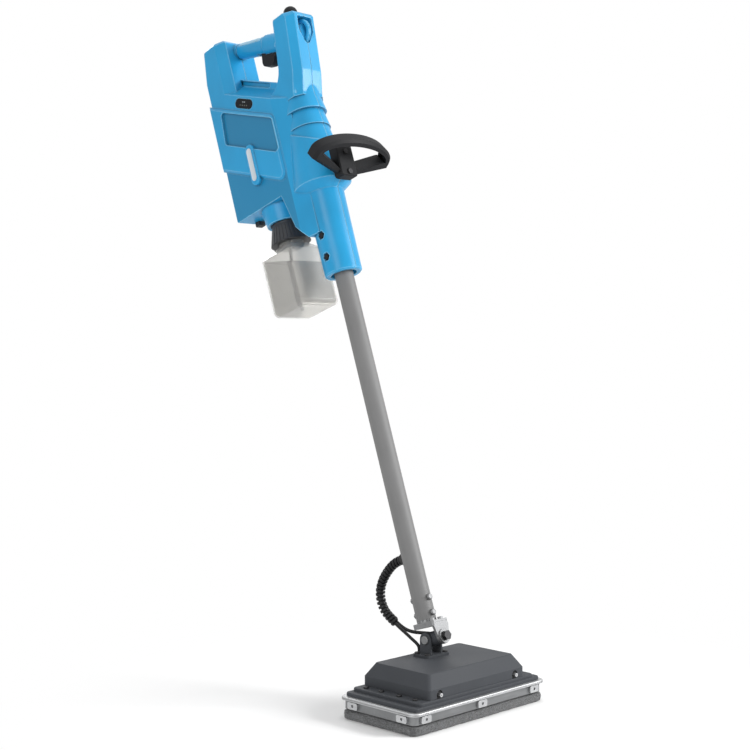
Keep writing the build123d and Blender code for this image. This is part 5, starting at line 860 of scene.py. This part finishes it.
class SCRUBBER_OT_lines(bpy.types.Operator):
    """Spiral wrap over its bundle, then the hose and the cable to the head"""

    bl_idname = "scrubber.lines"
    bl_label = "Lines"

    def execute(self, context):
        sizes = context.scene.scrubber_lines
        deep = toned(context.scene.scrubber_colours.black, 0.6)
        sleeve = moulded_finish("wrap band", deep, (0.3, 0.42), grain=1400.0, wear_and_highlight=0.3, shine=0.2)
        skin = moulded_finish("line skin", deep, (0.4, 0.55), grain=1800.0, wear_and_highlight=0.1, shine=0.2)
        line = route_line(WRAP_ROUTE)
        # The band stands off its bundle by half its thickness
        bundle = tube_piece("bundle_core", WRAP_ROUTE, sizes.wrap_diameter - 3 * sizes.band_thickness)
        bundle.data.materials.append(skin)
        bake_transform(bundle)
        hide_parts("line_bundle")
        band = self.wind_band(line, sizes)
        band.data.materials.append(sleeve)
        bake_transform(band)
        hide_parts("spiral_wrap")
        for name, route, diameter, node in (
            ("spray_line", HOSE_ROUTE, sizes.hose_diameter, "water_hose"),
            ("motor_line", CABLE_ROUTE, sizes.cable_diameter, "power_cable"),
        ):
            tube = tube_piece(name, route, diameter)
            tube.data.materials.append(skin)
            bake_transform(tube)
            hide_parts(node)
            run = route_line(route)
        return {"FINISHED"}

    def wind_band(self, line, sizes):
        """Flat band wound round the bundle: its section is extruded from spot to spot."""
        outer = sizes.wrap_diameter / 2
        inner = outer - sizes.band_thickness
        shoulder = outer - 0.3 * sizes.band_thickness
        half = sizes.band_width / 2
        flat = 0.6 * half
        section = [
            (inner, -half), (shoulder, -half), (outer, -flat),
            (outer, flat), (shoulder, half), (inner, half),
        ]
        bm = bmesh.new()
        points = []
        ring = [bm.verts.new() for _ in section]
        rim = [bm.edges.new(pair) for pair in zip(ring, ring[1:] + ring[:1])]
        bm.faces.new(ring)
        for index, (spot, along) in enumerate(even_line(line, BAND_STEPS * sizes.wrap_turns)):
            if index:
                grown = bmesh.ops.extrude_edge_only(bm, edges=rim)["geom"]
                fresh = {item for item in grown if isinstance(item, bmesh.types.BMVert)}
                ring = [self.partner(vert, fresh) for vert in ring]
                rim = [bm.edges.get(pair) for pair in zip(ring, ring[1:] + ring[:1])]
            turn = 2 * pi * index / BAND_STEPS
            outward = along.cross(ACROSS) * cos(turn) + ACROSS * sin(turn)
            for vert, (reach, shift) in zip(ring, section):
                vert.co = spot + outward * reach + along * shift
            points += ring
        bm.faces.new(ring)
        bmesh.ops.recalc_face_normals(bm, faces=bm.faces)
        return mesh_piece("wrap_band", bm, smooth=radians(40), points=points)

    def partner(self, vert, fresh):
        """New vertex that an extrusion made from an old one."""
        return next(edge.other_vert(vert) for edge in vert.link_edges if edge.other_vert(vert) in fresh)


class SCRUBBER_OT_pad(bpy.types.Operator):
    """Fibre pad with rounded lumpy sides, and the hook tape above it"""

    bl_idname = "scrubber.pad"
    bl_label = "Pad"

    def execute(self, context):
        sizes = context.scene.scrubber_pad
        colours = context.scene.scrubber_colours
        pad = self.make_slab("fibre_pad", "scrub_pad", sizes.corner, sizes.voxel)
        self.roughen(pad, sizes.tuft)
        pad.data.materials.append(fibre_finish("fibre felt", colours.pad))
        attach(pad, "head")
        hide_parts("scrub_pad")
        tape = self.make_slab("hook_tape", "hook_layer", sizes.corner)
        tape.data.materials.append(
            moulded_finish("hook tape", colours.black, (0.7, 0.9), grain=2500.0, depth=0.0004, wear_and_highlight=0.05)
        )
        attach(tape, "head")
        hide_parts("hook_layer")
        return {"FINISHED"}

    def make_slab(self, name, node, corner, voxel=None):
        """Slab with rounded corners in a CAD node's box, remeshed to even points if asked."""
        low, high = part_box(node)
        bm = start_box(high - low)
        bmesh.ops.translate(bm, vec=(low + high) / 2, verts=bm.verts)
        round_edges(bm, upright_edges(bm), corner, 8)
        rims = [edge for edge in bm.edges if rise(edge) < LEVEL_RISE]
        round_edges(bm, rims, RIM_SHARE * (high.z - low.z), 4)
        piece = mesh_piece(name, bm, smooth=radians(50))
        if voxel is None:
            return piece
        remesh = piece.modifiers.new("even points", "REMESH")
        remesh.mode = "VOXEL"
        remesh.voxel_size = voxel
        mesh = evaluated_mesh(piece, name)
        mesh.shade_smooth()
        return link_piece(name, mesh)

    def roughen(self, piece, tuft):
        """Lumps, dents and loose edges of pressed fibre, kept inside the node's box."""
        low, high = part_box("scrub_pad")
        middle = (low.z + high.z) / 2
        bm = bmesh.new()
        bm.from_mesh(piece.data)
        bm.normal_update()
        for vert in bm.verts:
            spot = vert.co.copy()
            lump = sum(share * noise.noise(spot * scale) for scale, share in LUMPS)
            side = 1.0 - abs(vert.normal.z)
            lift = tuft * (FACE_SHARE + (1.0 - FACE_SHARE) * side) * (lump - LUMP_LEVEL)
            draw = SIDE_DRAW * side * abs(spot.z - middle) / (high.z - middle)
            moved = spot + vert.normal * (lift - draw)
            moved.z = min(max(moved.z, low.z), high.z)
            vert.co = moved
        bm.to_mesh(piece.data)
        bm.free()


class SCRUBBER_OT_fill(bpy.types.Operator):
    """Cloudy liquid standing level in the leaning bottle"""

    bl_idname = "scrubber.fill"
    bl_label = "Bottle fill"

    def execute(self, context):
        sizes = context.scene.scrubber_fill
        width = sizes.width - 2 * sizes.wall
        foot = sizes.foot + sizes.wall
        height = sizes.height - sizes.wall
        bm = start_box((width, width, height))
        round_edges(bm, upright_edges(bm), sizes.corner - sizes.wall, 6)
        rim = [edge for edge in bm.edges if max(vert.co.z for vert in edge.verts) < 0.0]
        round_edges(bm, rim, sizes.rounding - sizes.wall, 5)
        centre = place(BOTTLE_FORE, foot + height / 2)
        bmesh.ops.transform(bm, matrix=set_at(centre, ACROSS, -FORE, UP), verts=bm.verts)
        cut = bmesh.ops.bisect_plane(
            bm, geom=[*bm.verts, *bm.edges, *bm.faces], plane_co=(0.0, 0.0, sizes.level),
            plane_no=(0.0, 0.0, 1.0), clear_outer=True,
        )["geom_cut"]
        bmesh.ops.contextual_create(bm, geom=[item for item in cut if isinstance(item, bmesh.types.BMEdge)])
        bmesh.ops.recalc_face_normals(bm, faces=bm.faces)
        liquid = mesh_piece("bottle_liquid", bm, smooth=radians(30))
        liquid.data.materials.append(liquid_finish("cloudy liquid", (0.41, 0.405, 0.388)))
        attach(liquid, "bottle")
        return {"FINISHED"}


class SCRUBBER_OT_badge(bpy.types.Operator):
    """Bare silver plate on the raised plinth of the right side"""

    bl_idname = "scrubber.badge"
    bl_label = "Badge plate"

    def execute(self, context):
        sizes = context.scene.scrubber_plates
        bm = start_box((sizes.badge_length, sizes.badge_width, sizes.badge_thickness))
        round_edges(bm, upright_edges(bm), BADGE_END * sizes.badge_width, 10)
        top = max(bm.faces, key=lambda face: face.calc_center_median().z)
        bmesh.ops.inset_individual(bm, faces=[top], thickness=BADGE_RIM, depth=-BADGE_SINK)
        outward = -ACROSS
        centre = place(BADGE_FORE, BADGE_UP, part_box("housing_right")[0].x)
        bmesh.ops.transform(bm, matrix=set_at(centre, UP, outward.cross(UP), outward), verts=bm.verts)
        bmesh.ops.recalc_face_normals(bm, faces=bm.faces)
        plate = mesh_piece("badge_plate", bm, smooth=radians(30))
        silver = context.scene.scrubber_colours.silver
        plate.data.materials.append(
            metal_finish("badge metal", silver, (0.5, 0.56), lines=2400.0, stretch=1.0, spread=(0.97, 1.02))
        )
        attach(plate, "upper")
        return {"FINISHED"}


class SCRUBBER_OT_lights(bpy.types.Operator):
    """Two pale figures over a row of dim lights in the display window"""

    bl_idname = "scrubber.lights"
    bl_label = "Display lights"

    def execute(self, context):
        sizes = context.scene.scrubber_plates
        low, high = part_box("display_panel")
        along = FORE * cos(DISPLAY_SLOPE) + UP * sin(DISPLAY_SLOPE)
        outward = -ACROSS
        across = outward.cross(along)
        middle = (low + high) / 2
        middle.x = low.x
        bm = bmesh.new()
        for lens, (row, steps) in enumerate(LIGHT_ROWS):
            for step in steps:
                spot = middle + along * (step * sizes.light_pitch) + across * (row * sizes.row_pitch)
                made = bmesh.ops.create_cone(
                    bm, cap_ends=True, segments=20, radius1=sizes.light_diameter / 2,
                    radius2=0.4 * sizes.light_diameter, depth=LIGHT_HEIGHT,
                    matrix=set_at(spot, along, across, outward),
                )
                for face in {face for vert in made["verts"] for face in vert.link_faces}:
                    face.material_index = lens
        lights = mesh_piece("display_lights", bm, smooth=radians(30))
        for name, colour in LENS_COLOURS.items():
            lights.data.materials.append(
                moulded_finish(name, colour, (0.12, 0.2), grain=800.0, depth=0.00001)
            )
        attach(lights, "upper")
        return {"FINISHED"}


class SCRUBBER_OT_finishes(bpy.types.Operator):
    """Finishes of the moulded, coated and plated pieces"""

    bl_idname = "scrubber.finishes"
    bl_label = "Finishes"

    def execute(self, context):
        colours = context.scene.scrubber_colours
        self.dress_mouldings(colours)
        self.dress_metals(colours)
        dress(milky_finish("milky bottle", (0.84, 0.835, 0.815)), "bottle")
        return {"FINISHED"}

    def dress_mouldings(self, colours):
        """Casing, coats, black and pale mouldings, rubber and hoses."""
        # The shell's pale edge lines are a painted highlight; its creases and flat side fields get painted
        # shade
        dress(
            moulded_finish(
                "sky blue shell", colours.shell, (0.28, 0.36), grain=1100.0, depth=0.00002, edge=0.0038,
                wear_and_highlight=0.9, dust=0.0, shine=0.3, joint=0.0005, rub_and_highlight=(0.34, 0.73, 0.97), unbroken=0.85,
                crease_shade=0.8, shade_fields=PAINTED_SHADE_FIELDS,
            ),
            "housing_right", "housing_left",
        )
        dress(
            moulded_finish(
                "pole coat", colours.pole, (0.5, 0.58), grain=1600.0, depth=0.00002, dust=0.0, shine=0.35
            ),
            "pole",
        )
        dress(
            moulded_finish(
                "head coat", colours.cover, (0.5, 0.62), grain=1300.0, depth=0.00006, wear_and_highlight=0.35, dust=0.0,
                shine=0.12,
            ),
            "motor_cover", "base_plate", "base_bracket", "motor_saddle", "cross_block",
        )
        dress(
            moulded_finish("black moulding", colours.black, (0.5, 0.6), grain=1200.0, dust=0.0, shine=0.12),
            "trigger", "power_button", "button_bezel", "button_switch", "trigger_switch", "loop_handle",
            "loop_bracket", "inlet_fitting", "water_pump", "clamp_bolts", "clamp_nuts",
        )
        dress(
            moulded_finish(
                "cap moulding", toned(colours.cover, 0.7), (0.4, 0.5), grain=1200.0, wear_and_highlight=0.2, dust=0.0,
                shine=0.3,
            ),
            "bottle_cap", "battery_pack",
        )
        dress(
            moulded_finish(
                "display window", (0.006, 0.006, 0.008), (0.05, 0.09), grain=300.0, depth=0.00001, wear_and_highlight=0.0,
                dust=0.0, shine=0.12,
            ),
            "display_panel",
        )
        dress(
            moulded_finish(
                "pale moulding", colours.pale, (0.35, 0.45), depth=0.00003, edge=0.0015, wear_and_highlight=0.9, dust=0.0,
                shine=0.3, rub_and_highlight=toned(colours.shell, 0.3),
            ),
            "grip_inlay",
        )
        dress(moulded_finish("dip tube", (0.1, 0.105, 0.11), (0.35, 0.45), dust=0.0), "dip_tube")
        dress(
            moulded_finish("soft rubber", (0.012, 0.012, 0.012), (0.6, 0.75), grain=1500.0, depth=0.00008),
            "rear_foot", "cover_grommets", "cable_grommet", "bottle_seal",
        )
        dress(
            moulded_finish("grey hose", (0.3, 0.31, 0.32), (0.3, 0.4), grain=1000.0),
            "suction_hose", "delivery_hose", "spray_hose",
        )
        dress(moulded_finish("circuit board", (0.02, 0.12, 0.05), (0.3, 0.5), grain=700.0), "control_board")

    def dress_metals(self, colours):
        """Rail, plated and dark steel, clips and nozzles."""
        dress(
            metal_finish(
                "rolled aluminium", (0.24, 0.245, 0.25), (0.42, 0.55), rim=(0.43, 0.435, 0.44),
                level=RAIL_LIP,
            ),
            "vibration_plate",
        )
        dress(
            metal_finish("zinc plate", colours.zinc, (0.5, 0.62), lines=500.0, stretch=0.4),
            "pitch_pin", "roll_washer", "swivel_bracket", "pole_plug", "flange_bolts", "plug_bolts",
            "plug_nuts", "housing_screws", "trigger_pin", "shaft_bearings", "eccentric_shaft",
            "drive_motor",
        )
        dress(
            metal_finish("clip steel", toned(colours.zinc, 2.2), (0.42, 0.55), lines=500.0, stretch=0.4),
            "pad_clips",
        )
        nozzle_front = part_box("spray_nozzles")[0].y
        dress(
            nozzle_finish(
                "nozzle", toned(colours.black, 0.5), toned(colours.zinc, 2.4), nozzle_front + NOZZLE_TIP
            ),
            "spray_nozzles",
        )
        dress(
            metal_finish("dark steel", (0.05, 0.05, 0.052), (0.45, 0.6), lines=600.0, stretch=0.5),
            "loop_bracket_bolts", "loop_pin", "roll_bolt", "plate_screws", "bracket_screws",
        )


class SCRUBBER_PT_panel(bpy.types.Panel):
    """Lists the steps that dress the scrubber"""

    bl_idname = "SCRUBBER_PT_panel"
    bl_label = "Scrubber"
    bl_space_type = "VIEW_3D"
    bl_region_type = "UI"
    bl_category = "Scrubber"

    def draw(self, context):
        for operator in OPERATORS:
            self.layout.operator(operator.bl_idname)


OPERATORS = (
    SCRUBBER_OT_stage,
    SCRUBBER_OT_lines,
    SCRUBBER_OT_finishes,
    SCRUBBER_OT_pad,
    SCRUBBER_OT_fill,
    SCRUBBER_OT_badge,
    SCRUBBER_OT_lights,
)
GROUPS = (
    moulded_grain_group,
    worn_and_highlighted_edge_group,
    settled_dust_group,
    brushed_lines_group,
    parting_line_group,
    height_band_group,
    front_band_group,
    painted_shade_field_group,
)
SETTINGS = {
    "scrubber_lines": LineSizes,
    "scrubber_pad": PadSizes,
    "scrubber_fill": FillSizes,
    "scrubber_plates": PlateSizes,
    "scrubber_colours": FinishColours,
}
CLASSES = (*SETTINGS.values(), *OPERATORS, SCRUBBER_PT_panel)


def register():
    for kind in CLASSES:
        bpy.utils.register_class(kind)
    for name, kind in SETTINGS.items():
        setattr(bpy.types.Scene, name, PointerProperty(type=kind))


def unregister():
    for name in SETTINGS:
        delattr(bpy.types.Scene, name)
    for kind in reversed(CLASSES):
        bpy.utils.unregister_class(kind)


def main():
    register()
    for build in GROUPS:
        build()
    bpy.ops.scrubber.stage()
    bpy.ops.scrubber.lines()
    bpy.ops.scrubber.finishes()
    bpy.ops.scrubber.pad()
    bpy.ops.scrubber.fill()
    bpy.ops.scrubber.badge()
    bpy.ops.scrubber.lights()


if __name__ == "__main__":
    main()
